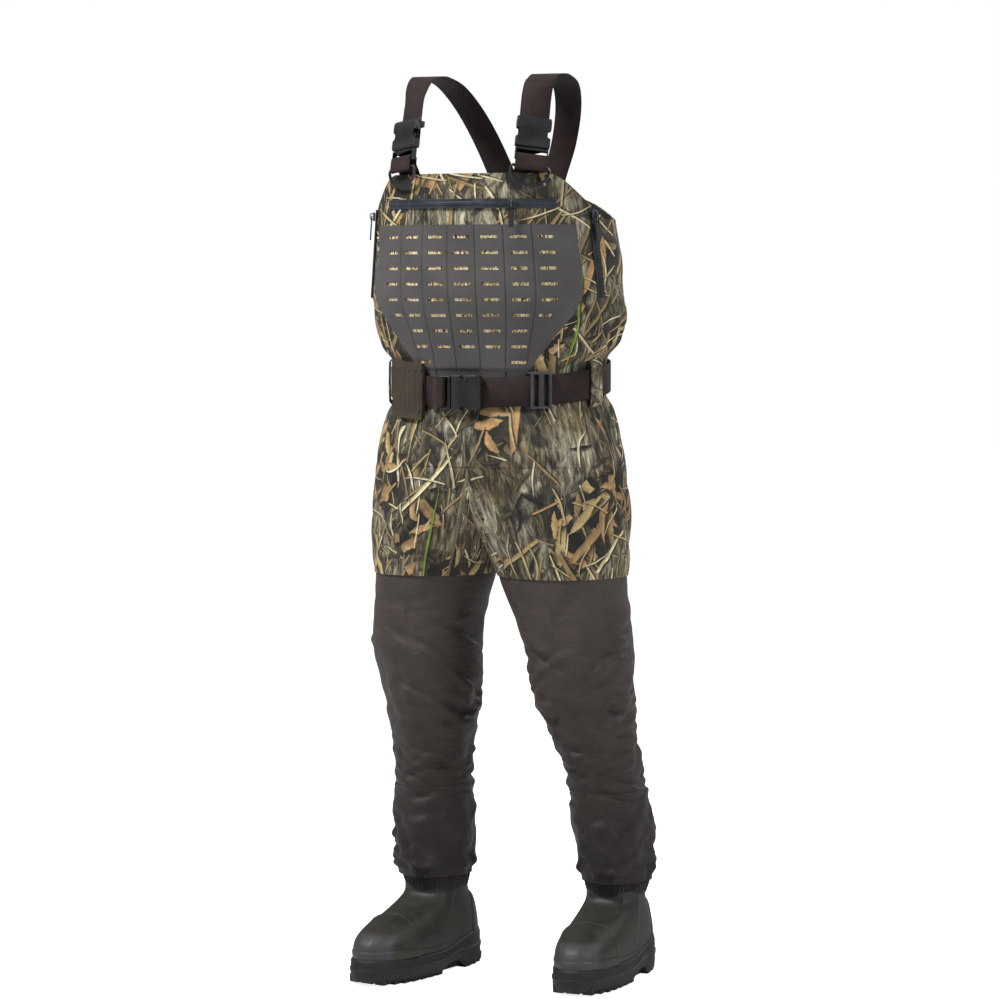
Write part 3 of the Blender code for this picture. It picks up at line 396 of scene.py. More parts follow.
def blade_group():
    """A node group that lays one layer of curved blades of grass, reeds or leaves over a colour."""
    tree = bpy.data.node_groups.new("blade_layer", "ShaderNodeTree")
    numbers = {"Scale": 10.0, "Seed": 0.0, "Angle": 0.0, "Jitter": 1.0, "Length": 0.7, "Width": 0.05}
    numbers |= {"Curve": 0.5, "Density": 0.5, "Ragged": 0.02, "Shadow": 0.7}
    for name in ("Base", "First", "Second", "Third"):
        tree.interface.new_socket(name, in_out="INPUT", socket_type="NodeSocketColor")
    tree.interface.new_socket("Vector", in_out="INPUT", socket_type="NodeSocketVector")
    for name, value in numbers.items():
        socket = tree.interface.new_socket(name, in_out="INPUT", socket_type="NodeSocketFloat")
        socket.default_value = value
    tree.interface.new_socket("Color", in_out="OUTPUT", socket_type="NodeSocketColor")
    g = Graph(tree)
    given = tree.nodes.new("NodeGroupInput").outputs
    out = tree.nodes.new("NodeGroupOutput")

    offset = g.joined(given["Seed"], g.times(given["Seed"], 1.37))
    spot = g.vector("ADD", g.vector("SCALE", given["Vector"], scale=given["Scale"]), offset)
    cells = g.add("ShaderNodeTexVoronoi", {"Vector": spot, "Scale": 1.0}, voronoi_dimensions="2D")
    chance = g.add("ShaderNodeSeparateColor", {"Color": cells.outputs["Color"]}).outputs
    local = g.vector("SUBTRACT", spot, cells.outputs["Position"])
    swing = g.times(g.minus(chance[0], 0.5), given["Jitter"])
    turned = g.add("ShaderNodeVectorRotate", {"Vector": local}, rotation_type="Z_AXIS")
    g.plug(turned, {"Angle": g.plus(given["Angle"], swing)})
    x, y = g.split(turned.outputs[0])[:2]
    bend = g.times(g.minus(chance[1], 0.5), given["Curve"])
    x = g.plus(x, g.times(bend, g.times(y, y)))
    reach = g.times(given["Length"], g.times_plus(chance[2], 0.5, 0.6))
    share = g.over(y, reach)
    body = g.minus(1.0, g.times(share, share), clamp=True)
    rough = g.minus(g.noise(spot, 9.0, 3.0, 0.6), 0.5)
    half = g.times(given["Width"], body)
    half = g.plus(half, g.times(rough, given["Ragged"]))
    away = g.math("ABSOLUTE", x)
    soft = g.times(given["Width"], 0.20)
    mask = g.over(g.minus(half, away), soft, clamp=True)
    lifted = g.math("ABSOLUTE", g.minus(x, g.times(given["Width"], 0.8)))
    dark = g.minus(g.times(half, 2.0), lifted)
    dark = g.over(dark, g.times(given["Width"], 1.2), clamp=True)
    fourth = g.math("FRACT", g.times_plus(chance[0], 7.13, g.times(chance[1], 3.71)))
    shown = g.math("GREATER_THAN", given["Density"], fourth)
    inside = g.math("GREATER_THAN", body, 0.02)
    shown = g.times(shown, inside)

    across = g.over(x, g.math("MAXIMUM", half, 0.001))
    grain = g.noise(g.joined(g.times(across, 2.2), g.times(y, 3.0), fourth), 2.5, 4.0, 0.65)
    tone = g.times_plus(across, 0.28, g.times_plus(grain, 1.1, 0.38))
    hue = g.mix(chance[2], given["First"], given["Second"])
    third = g.math("GREATER_THAN", g.math("FRACT", g.times(chance[2], 5.3)), 0.68)
    hue = g.mix(third, hue, given["Third"])
    mottle = g.times_plus(g.noise(given["Vector"], 75.0, 4.0, 0.7), 1.5, 0.30)
    hue = g.vector("SCALE", g.vector("SCALE", hue, scale=tone), scale=mottle)
    shade = g.times(g.times(dark, shown), given["Shadow"])
    under = g.mix(shade, given["Base"], srgb(24, 22, 16))
    colour = g.mix(g.times(mask, shown), under, hue)
    g.plug(out, {"Color": colour})
    return tree


CREAM, STRAW, TAN = srgb(222, 212, 176), srgb(186, 166, 116), srgb(148, 124, 84)
RUST, OLIVE, GREEN = srgb(186, 146, 98), srgb(84, 80, 46), srgb(128, 156, 48)
BARK_LIGHT, BARK_PALE, BARK = srgb(214, 208, 184), srgb(150, 144, 124), srgb(104, 97, 80)
BARK_DARK, SHADE = srgb(58, 52, 40), srgb(20, 18, 13)

# Blade layers, far to near: colours, scale, angle, jitter, length, width, curve, density, ragged, zone.
BLADES = (
    ((BARK_DARK, OLIVE, SHADE), 22, 0.2, 2.6, 0.85, 0.070, 1.0, 0.70, 0.05, None),
    ((OLIVE, TAN, BARK), 26, 0.0, 2.6, 0.95, 0.035, 0.7, 0.85, 0.02, "reeds"),
    ((SHADE, SHADE, BARK_DARK), 14, 0.9, 3.1, 0.70, 0.240, 0.8, 0.80, 0.14, "leaves"),
    ((RUST, TAN, STRAW), 17, 0.5, 3.1, 0.90, 0.170, 1.4, 0.80, 0.16, "leaves"),
    ((RUST, STRAW, TAN), 24, 2.0, 3.1, 0.90, 0.160, 1.4, 0.65, 0.16, "leaves"),
    ((SHADE, BARK_DARK, SHADE), 24, 0.9, 3.1, 0.60, 0.160, 1.0, 0.45, 0.14, "leaves"),
    ((STRAW, TAN, CREAM), 19, -0.5, 1.8, 1.00, 0.030, 0.5, 0.95, 0.01, "reeds"),
    ((TAN, STRAW, RUST), 16, 0.7, 1.2, 1.00, 0.034, 0.5, 0.90, 0.01, "reeds"),
    ((RUST, TAN, STRAW), 6.5, 0.42, 0.7, 1.00, 0.052, 0.25, 0.60, 0.01, "reeds"),
    ((TAN, STRAW, CREAM), 10, 0.6, 1.2, 1.00, 0.036, 0.4, 0.85, 0.01, "reeds"),
    ((STRAW, CREAM, TAN), 12, -0.6, 1.5, 1.00, 0.028, 0.6, 0.90, 0.01, "reeds"),
    ((CREAM, STRAW, CREAM), 15, 0.9, 2.4, 1.00, 0.022, 0.6, 0.75, 0.00, "reeds"),
    ((CREAM, CREAM, STRAW), 12, 0.3, 3.0, 0.50, 0.030, 3.0, 0.18, 0.00, None),
    ((RUST, STRAW, TAN), 4.6, -0.35, 0.8, 1.00, 0.034, 0.3, 0.50, 0.01, "reeds"),
    ((GREEN, GREEN, OLIVE), 5.2, 0.0, 0.3, 1.00, 0.012, 0.2, 0.28, 0.00, None),
)


def bark(g, cloth):
    """Upright tree bark: pale mottled ridges with dark cracks."""
    streaks = g.noise(g.scaled(cloth, (130, 30, 1)), 1.0, 8.0, 0.72, 0.8)
    plates = g.noise(g.scaled(cloth, (38, 10, 1)), 1.0, 6.0, 0.62, 1.6)
    value = g.times_plus(streaks, 0.58, g.times(plates, 0.42))
    value = g.plus(value, g.range(g.noise(cloth, 6.0, 2.0), 0.35, 0.65, -0.02, 0.035))
    stops = ((0.40, SHADE), (0.445, BARK_DARK), (0.49, BARK), (0.545, BARK_PALE), (0.62, BARK_LIGHT))
    colour = g.ramp(value, stops)
    warm = g.ramp(value, ((0.42, SHADE), (0.50, srgb(74, 64, 44)), (0.62, srgb(150, 134, 98))))
    drift = g.range(g.noise(cloth, 9.0, 2.0), 0.45, 0.62)
    return g.mix(drift, colour, warm)


def marsh_print():
    """The print as a node group: each place on the cloth, in metres, gets its colour."""
    tree = bpy.data.node_groups.new("marsh_print", "ShaderNodeTree")
    tree.interface.new_socket("Vector", in_out="INPUT", socket_type="NodeSocketVector")
    tree.interface.new_socket("Color", in_out="OUTPUT", socket_type="NodeSocketColor")
    g = Graph(tree)
    cloth = tree.nodes.new("NodeGroupInput").outputs["Vector"]
    wander = g.add("ShaderNodeTexNoise", {"Vector": cloth, "Scale": 7.0, "Detail": 2.0}).outputs["Color"]
    wander = g.vector("SUBTRACT", wander, (0.5, 0.5, 0.5))
    warped = g.vector("ADD", cloth, g.vector("SCALE", wander, scale=0.02))
    colour = bark(g, cloth)
    leafy = g.range(g.noise(g.vector("ADD", cloth, (8.3, 2.9, 0)), 5.5, 1.0), 0.52, 0.57)
    hollow = g.range(g.noise(g.vector("ADD", cloth, (3.1, 1.7, 0)), 8.5, 3.0, 0.6), 0.56, 0.62)
    reedy = g.range(g.noise(g.vector("ADD", cloth, (0.4, 5.2, 0)), 5.5, 2.0), 0.43, 0.53, 0.12, 1.0)
    colour = g.mix(g.times(g.math("MAXIMUM", hollow, leafy), 0.82), colour, srgb(30, 27, 20))
    zones = {"reeds": reedy, "leaves": leafy}
    group = blade_group()
    for k, (hues, scale, angle, jitter, length, width, curve, density, ragged, zone) in enumerate(BLADES):
        node = g.add("ShaderNodeGroup", node_tree=group)
        values = {"Base": colour, "Vector": warped, "First": hues[0], "Second": hues[1], "Third": hues[2]}
        values |= {"Scale": float(scale), "Seed": 3.7 * k + 1.0, "Angle": angle, "Jitter": jitter}
        values |= {"Length": length, "Width": width, "Curve": curve, "Ragged": ragged, "Shadow": 0.85}
        values["Density"] = g.times(zones[zone], density) if zone else density
        g.plug(node, values)
        colour = node.outputs[0]
    fine = g.noise(cloth, 420.0, 2.0)
    speckle = g.ramp(fine, ((0.3, srgb(60, 58, 50)), (0.7, srgb(190, 184, 164))))
    out = tree.nodes.new("NodeGroupOutput")
    g.plug(out, {"Color": g.mix(0.25, colour, speckle, "OVERLAY")})
    return tree


def camouflage(name, place=None):
    """Printed fabric. It follows the cloth's own map, or two of the object's axes on pieces without one."""
    made, g, shader = material(name)
    if place is None:
        cloth = g.cloth()
    else:
        axes = g.split(g.place())
        cloth = g.joined(axes[place], axes[2])
    printed = g.add("ShaderNodeGroup", node_tree=PRINT)
    g.plug(printed, {"Vector": cloth})
    g.plug(shader, {
        "Base Color": printed.outputs["Color"],
        "Roughness": g.range(g.noise(cloth, 60.0, 3.0), 0.3, 0.7, 0.66, 0.84),
        "Sheen Weight": 0.05,
        "Normal": weave(g, cloth, 0.0011, 0.12),
    })
    return made


def slot_backing():
    """The pale reeds that show through the panel's slots."""
    made, g, shader = material("pale_reed_insert")
    cloth = g.cloth()
    reeds = g.noise(g.scaled(cloth, (230, 90, 1)), 1.0, 4.0, 0.6, 1.0)
    stops = ((0.36, SHADE), (0.44, srgb(120, 98, 60)), (0.50, srgb(206, 182, 128)))
    stops += ((0.60, srgb(244, 234, 200)),)
    g.plug(shader, {
        "Base Color": g.ramp(reeds, stops),
        "Roughness": 0.8,
        "Normal": weave(g, cloth, 0.0011, 0.12),
    })
    return made


def weave(g, cloth, pitch, strength, wrinkle=0.0):
    """The bump of a plain weave: threads over and under each other, with a little slubbing."""
    x, y = g.split(cloth)[:2]
    threads = g.times(g.waves(x, pitch), g.waves(y, pitch))
    slub = g.noise(g.scaled(cloth, (1, 6, 1)), 160.0, 3.0)
    height = g.times_plus(slub, 1.5, threads)
    normal = g.bump(height, strength, 0.0002)
    if wrinkle:
        creases = g.noise(g.scaled(cloth, (1.0, 2.4, 1)), 26.0, 5.0, 0.55, 1.0)
        normal = g.bump(creases, wrinkle, 0.006, normal)
    return normal


def plain_fabric(name, dark, light, roughness, pitch=0.0008, strength=0.25, wrinkle=0.0, painted_hem_brightness=1.0):
    """Woven nylon in one colour, mottled from dark to light, with painted shade that darkens it towards the
    hem.
    """
    made, g, shader = material(name)
    cloth = g.cloth()
    cloudy = g.noise(cloth, 13.0, 4.0, 0.6)
    threads = g.noise(g.scaled(cloth, (1, 0.25, 1)), 900.0, 2.0)
    value = g.times_plus(threads, 0.35, g.times(cloudy, 0.65))
    # Painted shade: the colour darkens towards the bottom, where less light falls.
    painted_shade_falloff = g.range(g.split(g.place())[2], 0.20, 0.70, painted_hem_brightness, 1.0)
    colour = g.ramp(value, ((0.34, dark), (0.66, light)))
    g.plug(shader, {
        "Base Color": g.vector("SCALE", colour, scale=painted_shade_falloff),
        "Roughness": g.range(cloudy, 0.3, 0.7, roughness - 0.06, roughness + 0.06),
        "Specular IOR Level": 0.3,
        "Sheen Weight": 0.03,
        "Sheen Roughness": 0.5,
        "Normal": weave(g, cloth, pitch, strength, wrinkle),
    })
    return made


def webbing():
    """Dark red-brown nylon webbing, for pieces without a cloth map: fine ribs across it, and threads."""
    made, g, shader = material("nylon_webbing")
    spot = g.place()
    y, z = g.split(spot)[1:]
    facing = g.math("ABSOLUTE", g.split(g.add("ShaderNodeNewGeometry").outputs["Normal"])[2])
    along = g.mix(g.range(facing, 0.5, 0.8), z, y)
    ribs = g.waves(along, 0.0016)
    threads = g.noise(spot, 1100.0, 2.0)
    cloudy = g.noise(spot, 60.0, 3.0)
    tone = g.times_plus(ribs, 0.10, g.times_plus(threads, 0.5, g.times(cloudy, 0.5)))
    g.plug(shader, {
        "Base Color": g.ramp(tone, ((0.3, srgb(27, 18, 17)), (0.75, srgb(56, 38, 35)))),
        "Roughness": 0.78,
        "Specular IOR Level": 0.3,
        "Sheen Weight": 0.04,
        "Normal": g.bump(g.plus(ribs, threads), 0.35, 0.0004),
    })
    return made


def webbing_cloth():
    """The same webbing where it has a cloth map: a fine herringbone with darker selvedges."""
    made, g, shader = material("nylon_webbing_weave")
    cloth = g.cloth()
    u, v = g.split(cloth)[:2]
    bands = g.math("PINGPONG", u, 0.004)
    twill = g.waves(g.plus(v, g.times(bands, 0.9)), 0.0019)
    cords = g.waves(u, 0.0010)
    edge = g.range(g.math("ABSOLUTE", u), 0.0215, 0.0225)
    threads = g.noise(g.scaled(cloth, (1, 0.4, 1)), 1500.0, 2.0)
    cloudy = g.noise(cloth, 40.0, 3.0)
    tone = g.times_plus(twill, 0.07, g.times_plus(threads, 0.5, g.times(cloudy, 0.5)))
    tone = g.times_plus(edge, -0.06, tone)
    g.plug(shader, {
        "Base Color": g.ramp(tone, ((0.32, srgb(25, 16, 15)), (0.72, srgb(52, 35, 32)))),
        "Roughness": 0.72,
        "Specular IOR Level": 0.3,
        "Sheen Weight": 0.04,
        "Normal": g.bump(g.times_plus(cords, 0.4, twill), 0.45, 0.0003),
    })
    return made


def speckled(name, dark, light, roughness, grain=900.0, strength=0.15, metallic=0.0, worn=None):
    """Fine grain and cloudy colour, for plastic, rubber, coated metal and tape. Worn edges may be paler."""
    made, g, shader = material(name)
    spot = g.place()
    cloudy = g.noise(spot, 34.0, 4.0, 0.6)
    fine = g.noise(spot, grain, 3.0, 0.6)
    colour = g.ramp(g.times_plus(fine, 0.3, g.times(cloudy, 0.7)), ((0.35, dark), (0.65, light)))
    if worn:
        edge = g.add("ShaderNodeNewGeometry").outputs["Pointiness"]
        colour = g.mix(g.range(edge, 0.515, 0.60, 0.0, 0.55), colour, worn)
    g.plug(shader, {
        "Base Color": colour,
        "Metallic": metallic,
        "Roughness": g.range(cloudy, 0.3, 0.7, roughness - 0.07, roughness + 0.07),
        "Normal": g.bump(fine, strength, 0.0003),
    })
    return made


def boot_rubber():
    """Dark olive rubber with a fine grain, and a painted grey-blue highlight over the front of the toe."""
    dark, light, worn = srgb(30, 28, 23), srgb(47, 44, 36), srgb(74, 71, 64)
    made = speckled("olive_boot_rubber", dark, light, 0.55, 500.0, 0.22, worn=worn)
    g, shader = Graph(made.node_tree), made.node_tree.nodes["Principled BSDF"]
    around, height = g.split(g.cloth())[:2]
    ahead = g.math("COSINE", g.times(around, 2 * math.pi / BOOT_GIRTH))
    # Painted highlight: a paler grey-blue over the front of the toe, low down.
    toe_highlight = g.times(g.range(ahead, 0.80, 0.86), g.range(height, 0.080, 0.086, 1.0, 0.0))
    colour = shader.inputs["Base Color"].links[0].from_socket
    g.plug(shader, {"Base Color": g.mix(g.times(toe_highlight, 0.7), colour, srgb(64, 65, 70))})
    return made


PRINT = marsh_print()
MATERIALS = {
    "camouflage": camouflage("printed_marsh_fabric"),
    "camouflage_side": camouflage("printed_marsh_fabric_side", 1),
    "camouflage_back": camouflage("printed_marsh_fabric_back", 0),
    # Its last setting paints shade: the legs darken to 0.30 of their colour towards the boots.
    "brown_nylon": plain_fabric(
        "brown_nylon_laminate", srgb(56, 49, 45), srgb(80, 71, 66), 0.58, wrinkle=0.5, painted_hem_brightness=0.30
    ),
    "grey_panel": plain_fabric(
        "grey_slotted_laminate", srgb(74, 71, 72), srgb(92, 88, 88), 0.80, pitch=0.0007, strength=0.15
    ),
    "holder_elastic": speckled("ribbed_elastic", srgb(44, 37, 28), srgb(70, 60, 46), 0.85, 1400.0, 0.5),
    "lining": plain_fabric("dark_lining", srgb(34, 33, 32), srgb(52, 50, 48), 0.85),
    "slot_backing": slot_backing(),
    "webbing": webbing(),
    "webbing_cloth": webbing_cloth(),
    "black_plastic": speckled(
        "moulded_black_plastic", srgb(10, 10, 12), srgb(21, 21, 24), 0.42, worn=srgb(70, 70, 76)
    ),
    "grey_metal": speckled(
        "coated_grey_metal", srgb(52, 52, 58), srgb(80, 80, 86), 0.40,
        metallic=0.5, worn=srgb(140, 140, 146),
    ),
    "zip_tape": speckled("coated_zip_tape", srgb(36, 40, 48), srgb(58, 63, 72), 0.42, 700.0, 0.10),
    "side_zip": speckled("black_side_zip", srgb(20, 20, 22), srgb(36, 36, 40), 0.45, 700.0, 0.10),
    "boot_rubber": boot_rubber(),
    "sole_rubber": speckled(
        "black_sole_rubber", srgb(10, 10, 12), srgb(21, 21, 25), 0.62, 600.0, 0.25, worn=srgb(44, 44, 50)
    ),
    "neoprene": speckled("black_neoprene", srgb(18, 18, 18), srgb(34, 34, 34), 0.90, 500.0, 0.3),
}


def wear(obj, name):
    """Gives a piece its material, in its first material slot."""
    if len(obj.data.materials) < 2:
        obj.data.materials.clear()
        obj.data.materials.append(MATERIALS[name])
    obj.data.materials[0] = MATERIALS[name]
    return obj


# The torso.

TORSO = Tube(["bib"], per_node=40)
BIB_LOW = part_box("bib")[0].z
CENTRE_X = TORSO.at(1.1)[0]


def bib_top(turn):
    """The height of the bib's top edge: high at the front, low under the arms."""
    front, side, back = TOP_EDGE
    degrees = math.degrees(abs(wrapped(turn)))
    if degrees < 90:
        return front + (side - front) * smoothstep(degrees, 42, 84)
    return side + (back - side) * smoothstep(degrees, 105, 160)


def measured_top_edge():
    """The bib's top height at the front, under the arm and at the back, from the CAD."""
    points = points_of("bib")
    x, y = points[:, 0] - CENTRE_X, points[:, 1] - TORSO.at(1.3)[1]
    turn = np.degrees(np.abs(np.arctan2(x, -y)))
    bands = ((0, 20), (85, 95), (165, 180))
    return [points[(turn >= low) & (turn <= high), 2].max() for low, high in bands]


TOP_EDGE = measured_top_edge()


def carry_on(table, low):
    """Above the underarms only the bib's front and back are left, so its sides carry on straight there."""
    below = table[(table[:, 0] > low - 0.055) & (table[:, 0] < low)]
    above = table[:, 0] >= low
    front = table[above, 2] - table[above, 4]
    for column in (1, 2, 3):
        line = np.polyfit(below[:, 0], below[:, column], 1)
        table[above, column] = np.polyval(line, table[above, 0])
    table[above, 4] = table[above, 2] - front


carry_on(TORSO.table, TOP_EDGE[1] - 0.002)
BELT_LOW, BELT_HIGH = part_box("belt_webbing")
BELT_MIDDLE = (BELT_LOW.z + BELT_HIGH.z) / 2


def belt_height(turn):
    swing = (BELT_HIGH.z - BELT_LOW.z - WEBBING_WIDTH) / 2
    return BELT_MIDDLE - swing * np.cos(turn)


def zip_place(side):
    """Where a side pocket's zip lies on the torso: rows of height, turn and how far out its back is."""
    points, edges = points_of(f"{side}_pocket_zip_tape"), edges_of(f"{side}_pocket_zip_tape")
    found = []
    for height in np.linspace(points[:, 2].min() + 0.002, points[:, 2].max() - 0.002, 9):
        x, y, wide, deep = TORSO.at(height)
        middle = np.array([x, y, height])
        away = crossings(points, edges, height) - middle
        turns = np.arctan2(away[:, 0] / wide, -away[:, 1] / deep)
        reach = [np.linalg.norm(TORSO.point(turn, height) - middle) for turn in turns]
        found.append((height, turns.mean(), (np.linalg.norm(away, axis=1) - reach).min()))
    return np.array(found)


ZIPS = [zip_place(side) for side in SIDES]


def at_zips(out, turn, height):
    """Brings the cloth out to the back of each side zip."""
    for zip_line in ZIPS:
        place, back = (np.interp(height, zip_line[:, 0], zip_line[:, k]) for k in (1, 2))
        low, high = zip_line[0, 0], zip_line[-1, 0]
        near = ridge(wrapped(turn - place), 0.0, 0.13)
        near = near * smoothstep(height, low - 0.03, low) * (1 - smoothstep(height, high, high + 0.03))
        out = out + near * (back - 0.0006 - out)
    return out


def torso_folds(turn, height):
    """How far the torso's cloth stands out: it blouses over and under the belt, with soft creases."""
    from_belt = height - belt_height(turn)
    above = smoothstep(from_belt, 0.030, 0.062) * (1 - smoothstep(from_belt, 0.075, 0.17))
    below = smoothstep(-from_belt, 0.028, 0.055) * (1 - smoothstep(-from_belt, 0.065, 0.15))
    side = smoothstep(np.abs(np.sin(turn)), 0.55, 0.95)
    pleats = ripple(height * 0.8, turn * 0.20, 11, 0.034, 0.5) - 0.25
    drape = ripple(turn * 0.2, height, 5, 0.085, 0.6) - 0.28
    out = above * (0.010 * side + 0.005 * pleats * (0.3 + side)) + below * (0.004 + 0.006 * pleats)
    calm = 0.25 + 0.75 * side
    top = 1 - smoothstep(height, 1.24, 1.30)
    return at_zips(out + 0.0055 * drape * calm * smoothstep(from_belt, 0.05, 0.11) * top, turn, height)


def on_torso(turn, height, lift=0.0):
    """A point of the torso's cloth, or lifted off it, and its place on the cloth."""
    point = TORSO.point(turn, height, torso_folds(turn, height) + lift)
    return point, (GIRTH * turn / (2 * math.pi), height)


def torso_shell():
    columns, rows = 260, 130
    turns = np.linspace(-math.pi, math.pi, columns + 1)
    tops = [bib_top(turn) for turn in turns]
    made = [
        [on_torso(turn, BIB_LOW + (top - BIB_LOW) * r / (rows - 1)) for turn, top in zip(turns, tops)]
        for r in range(rows)
    ]
    grid = np.array([[point for point, _ in row[:-1]] for row in made])
    cloth = [[place for _, place in row] for row in made]
    shell = thicken(grid_object("bib_shell", grid, cloth, closed=True), lined=True)
    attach(wear(shell, "camouflage"), "garment")
    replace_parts(shell, "bib")


# Trousers.


LEG_PARTS = ("thigh", "knee", "shin", "gaiter")
LEG = {side: Tube([f"{side}_{part}" for part in LEG_PARTS]) for side in SIDES}
THIGH_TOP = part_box("left_thigh")[1].z
GAITER_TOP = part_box("left_gaiter")[1].z
GAITER_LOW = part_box("left_gaiter")[0].z
CROTCH = THIGH_TOP + 0.036


def fullness(side, turn, height):
    """Extra cloth on the inside of the thigh, below the crotch."""
    inward = max(-SIGN[side] * math.sin(turn), 0.0)
    return 0.016 * inward**2 * ridge(height, THIGH_TOP, 0.055)


def seat_loop(side, count_out, count_in):
    """The top edge of one trouser half: round the hip, then down under the crotch and back up."""
    sign = SIGN[side]
    loop = [TORSO.point(sign * math.pi * k / count_out, BIB_LOW) for k in range(count_out + 1)]
    x, y, _, depth = TORSO.at(BIB_LOW)
    for k in range(1, count_in):
        turn = math.pi * k / count_in
        drop = (BIB_LOW - CROTCH) * math.sin(turn) ** 0.62
        loop.append(np.array([x, y + depth * math.cos(turn) * (1 - 0.22 * math.sin(turn)), BIB_LOW - drop]))
    return np.array(loop)


def trouser_half(side):
    """Camouflage trousers from the hips to the seam on the thigh, in one sheet."""
    count_out, count_in, rows = 110, 60, 62
    sign = SIGN[side]
    upper = seat_loop(side, count_out, count_in)
    degrees = [-40 + 260 * k / count_out for k in range(count_out + 1)]
    degrees += [220 + 100 * k / count_in for k in range(1, count_in)]
    low = THIGH_TOP - 0.004
    around = [sign * math.radians(d) for d in degrees]
    lower = np.array([LEG[side].point(turn, low, 0.0018 + fullness(side, turn, low)) for turn in around])
    columns = len(upper)
    outward = (upper - upper.mean(axis=0)) * (1, 1, 0)
    outward /= np.linalg.norm(outward, axis=1, keepdims=True)
    place = np.arange(columns) / columns
    inner = smoothstep(place, 0.60, 0.68) * (1 - smoothstep(place, 0.95, 1.0))
    across = [
        sign * (GIRTH / 2 * min(c, count_out) / count_out + 0.35 * max(c - count_out, 0) / count_in)
        for c in range(columns + 1)
    ]
    grid, cloth = [], []
    for t in np.linspace(0, 1, rows):
        points = lower + (upper - lower) * (t + 0.10 * math.sin(2 * math.pi * t) / (2 * math.pi))
        calm = max(math.sin(math.pi * t), 0.0) ** 0.6
        sag = ripple(place * 1.2, points[:, 2], 21 if side == "left" else 33, 0.070, 0.9) - 0.3
        points = points + outward * ((0.0065 * sag * calm + 0.004 * calm) * (1 - inner))[:, None]
        grid.append(points)
        cloth.append([(across[c], points[c % columns, 2]) for c in range(columns + 1)])
    grid = np.array(grid)
    if sign < 0:
        grid = grid[:, ::-1]
        cloth = [row[columns - 1 :: -1] + row[columns - 1 : columns] for row in cloth]
    half = thicken(grid_object(f"{side}_trouser_half", grid, cloth, closed=True), lined=True)
    wear(half, "camouflage")
    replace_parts(half, f"{side}_seat_half")
    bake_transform(half)


def leg_sheet(side):
    """The brown leg as one fine sheet, from the ankle cuff to the seam on the thigh."""
    columns, rows = 132, 160
    hem = GAITER_LOW - 0.007
    heights = np.linspace(hem, THIGH_TOP, rows)
    turns = np.linspace(0, 2 * math.pi, columns, endpoint=False)

    def out(turn, height):
        over_cuff = 0.0046 * (1 - smoothstep(height, hem, hem + 0.012))
        return fullness(side, turn, height) + over_cuff - 0.0006

    grid = np.array([[LEG[side].point(t, h, out(t, h)) for t in turns] for h in heights])
    cloth = cloth_grid(columns, LEG_GIRTH, heights)
    return grid_object(f"{side}_leg_sheet", grid, cloth, closed=True), heights, turns


def crumple(turn, height, seed, rate, stretch, tilt):
    """Creased cloth, from -1 to 1: soft facets that meet in sharper valleys, wrapped round a leg."""
    lean = height + tilt * np.sin(turn + seed)
    found = np.zeros(turn.shape)
    start = seed * Vector((1.7, 0.9, 2.3))
    for index in np.ndindex(turn.shape):
        t, h = turn[index], lean[index]
        spot = rate * Vector((0.09 * math.sin(t), 0.09 * math.cos(t), h * stretch)) + start
        found[index] = noise.noise(spot) + 0.35 * noise.noise(spot * 2.1)
    return 1.0 - 2.2 * np.abs(found)


# Crease zones: how many, between which heights, slant, depth and width.
CREASES = (
    (9, 0.59, 0.68, 0.5, 0.0032, 0.012),
    (26, 0.42, 0.59, 0.9, 0.0085, 0.010),
    (32, 0.31, 0.41, 0.35, 0.0062, 0.0065),
    (16, 0.19, 0.31, 1.0, 0.0062, 0.010),
)


def crease_lines(side, turn, height):
    """Slanting creases round the leg, each a valley with a soft roll of cloth under it."""
    rng = np.random.default_rng(31 if side == "left" else 57)
    folds = np.zeros(turn.shape)
    for count, low, high, slant, deep, wide in CREASES:
        for _ in range(count):
            at, level = rng.uniform(-math.pi, math.pi), rng.uniform(low, high)
            reach, tilt = rng.uniform(0.025, 0.060), rng.uniform(-slant, slant)
            bend, share = rng.uniform(-4, 4), rng.uniform(0.5, 1.0)
            along = 0.085 * wrapped(turn - at)
            off = height - level - tilt * along - bend * along**2
            shape = 0.75 * ridge(off, -1.3 * wide, wide) - ridge(off, 0.0, 0.7 * wide)
            folds += deep * share * ridge(along, 0.0, reach) * shape
    most = np.where(folds > 0, 0.007, 0.012)
    return most * np.tanh(folds / most)


def designed_folds(side, turns, heights):
    """Creases round the knee and calf, and bulges above the ankle, before the cloth settles."""
    turn, height = np.meshgrid(turns, heights)
    seed = 4.1 if side == "left" else 9.7
    lean = -0.035 * SIGN[side]
    thigh = smoothstep(height, 0.52, 0.60) * (1 - smoothstep(height, 0.62, 0.69))
    knee, calf = ridge(height, 0.475, 0.090), ridge(height, 0.365, 0.050)
    low = smoothstep(height, GAITER_LOW, GAITER_LOW + 0.020) * (1 - smoothstep(height, 0.27, 0.33))
    folds = 0.0040 * thigh * crumple(turn, height, seed, 11, 0.9, lean)
    folds += 0.0085 * knee * crumple(turn, height, seed + 1, 13, 1.5, lean)
    folds += 0.0040 * calf * crumple(turn, height, seed + 3, 16, 4.2, 0.6 * lean)
    folds += 0.0065 * low * crumple(turn, height, seed + 4, 15, 1.2, lean)
    overhang = ridge(height, GAITER_LOW + 0.014, 0.015)
    folds += overhang * (0.008 + 0.004 * np.sin(9 * turn + seed + 1.5 * np.sin(4 * turn)))
    return folds + crease_lines(side, turn, height)


def leg_slack(height):
    """How much more cloth there is than height, along the leg."""
    knee, calf, ankle = ridge(height, 0.47, 0.09), ridge(height, 0.36, 0.06), ridge(height, 0.20, 0.05)
    return 0.03 + 0.16 * knee + 0.20 * calf + 0.14 * ankle


FABRIC = {
    "quality": 6,
    "mass": 0.20,
    "tension_stiffness": 30,
    "compression_stiffness": 30,
    "shear_stiffness": 10,
    "bending_stiffness": 0.05,
    "air_damping": 4,
    "use_pressure": True,
    "uniform_pressure_force": 0.4,
}


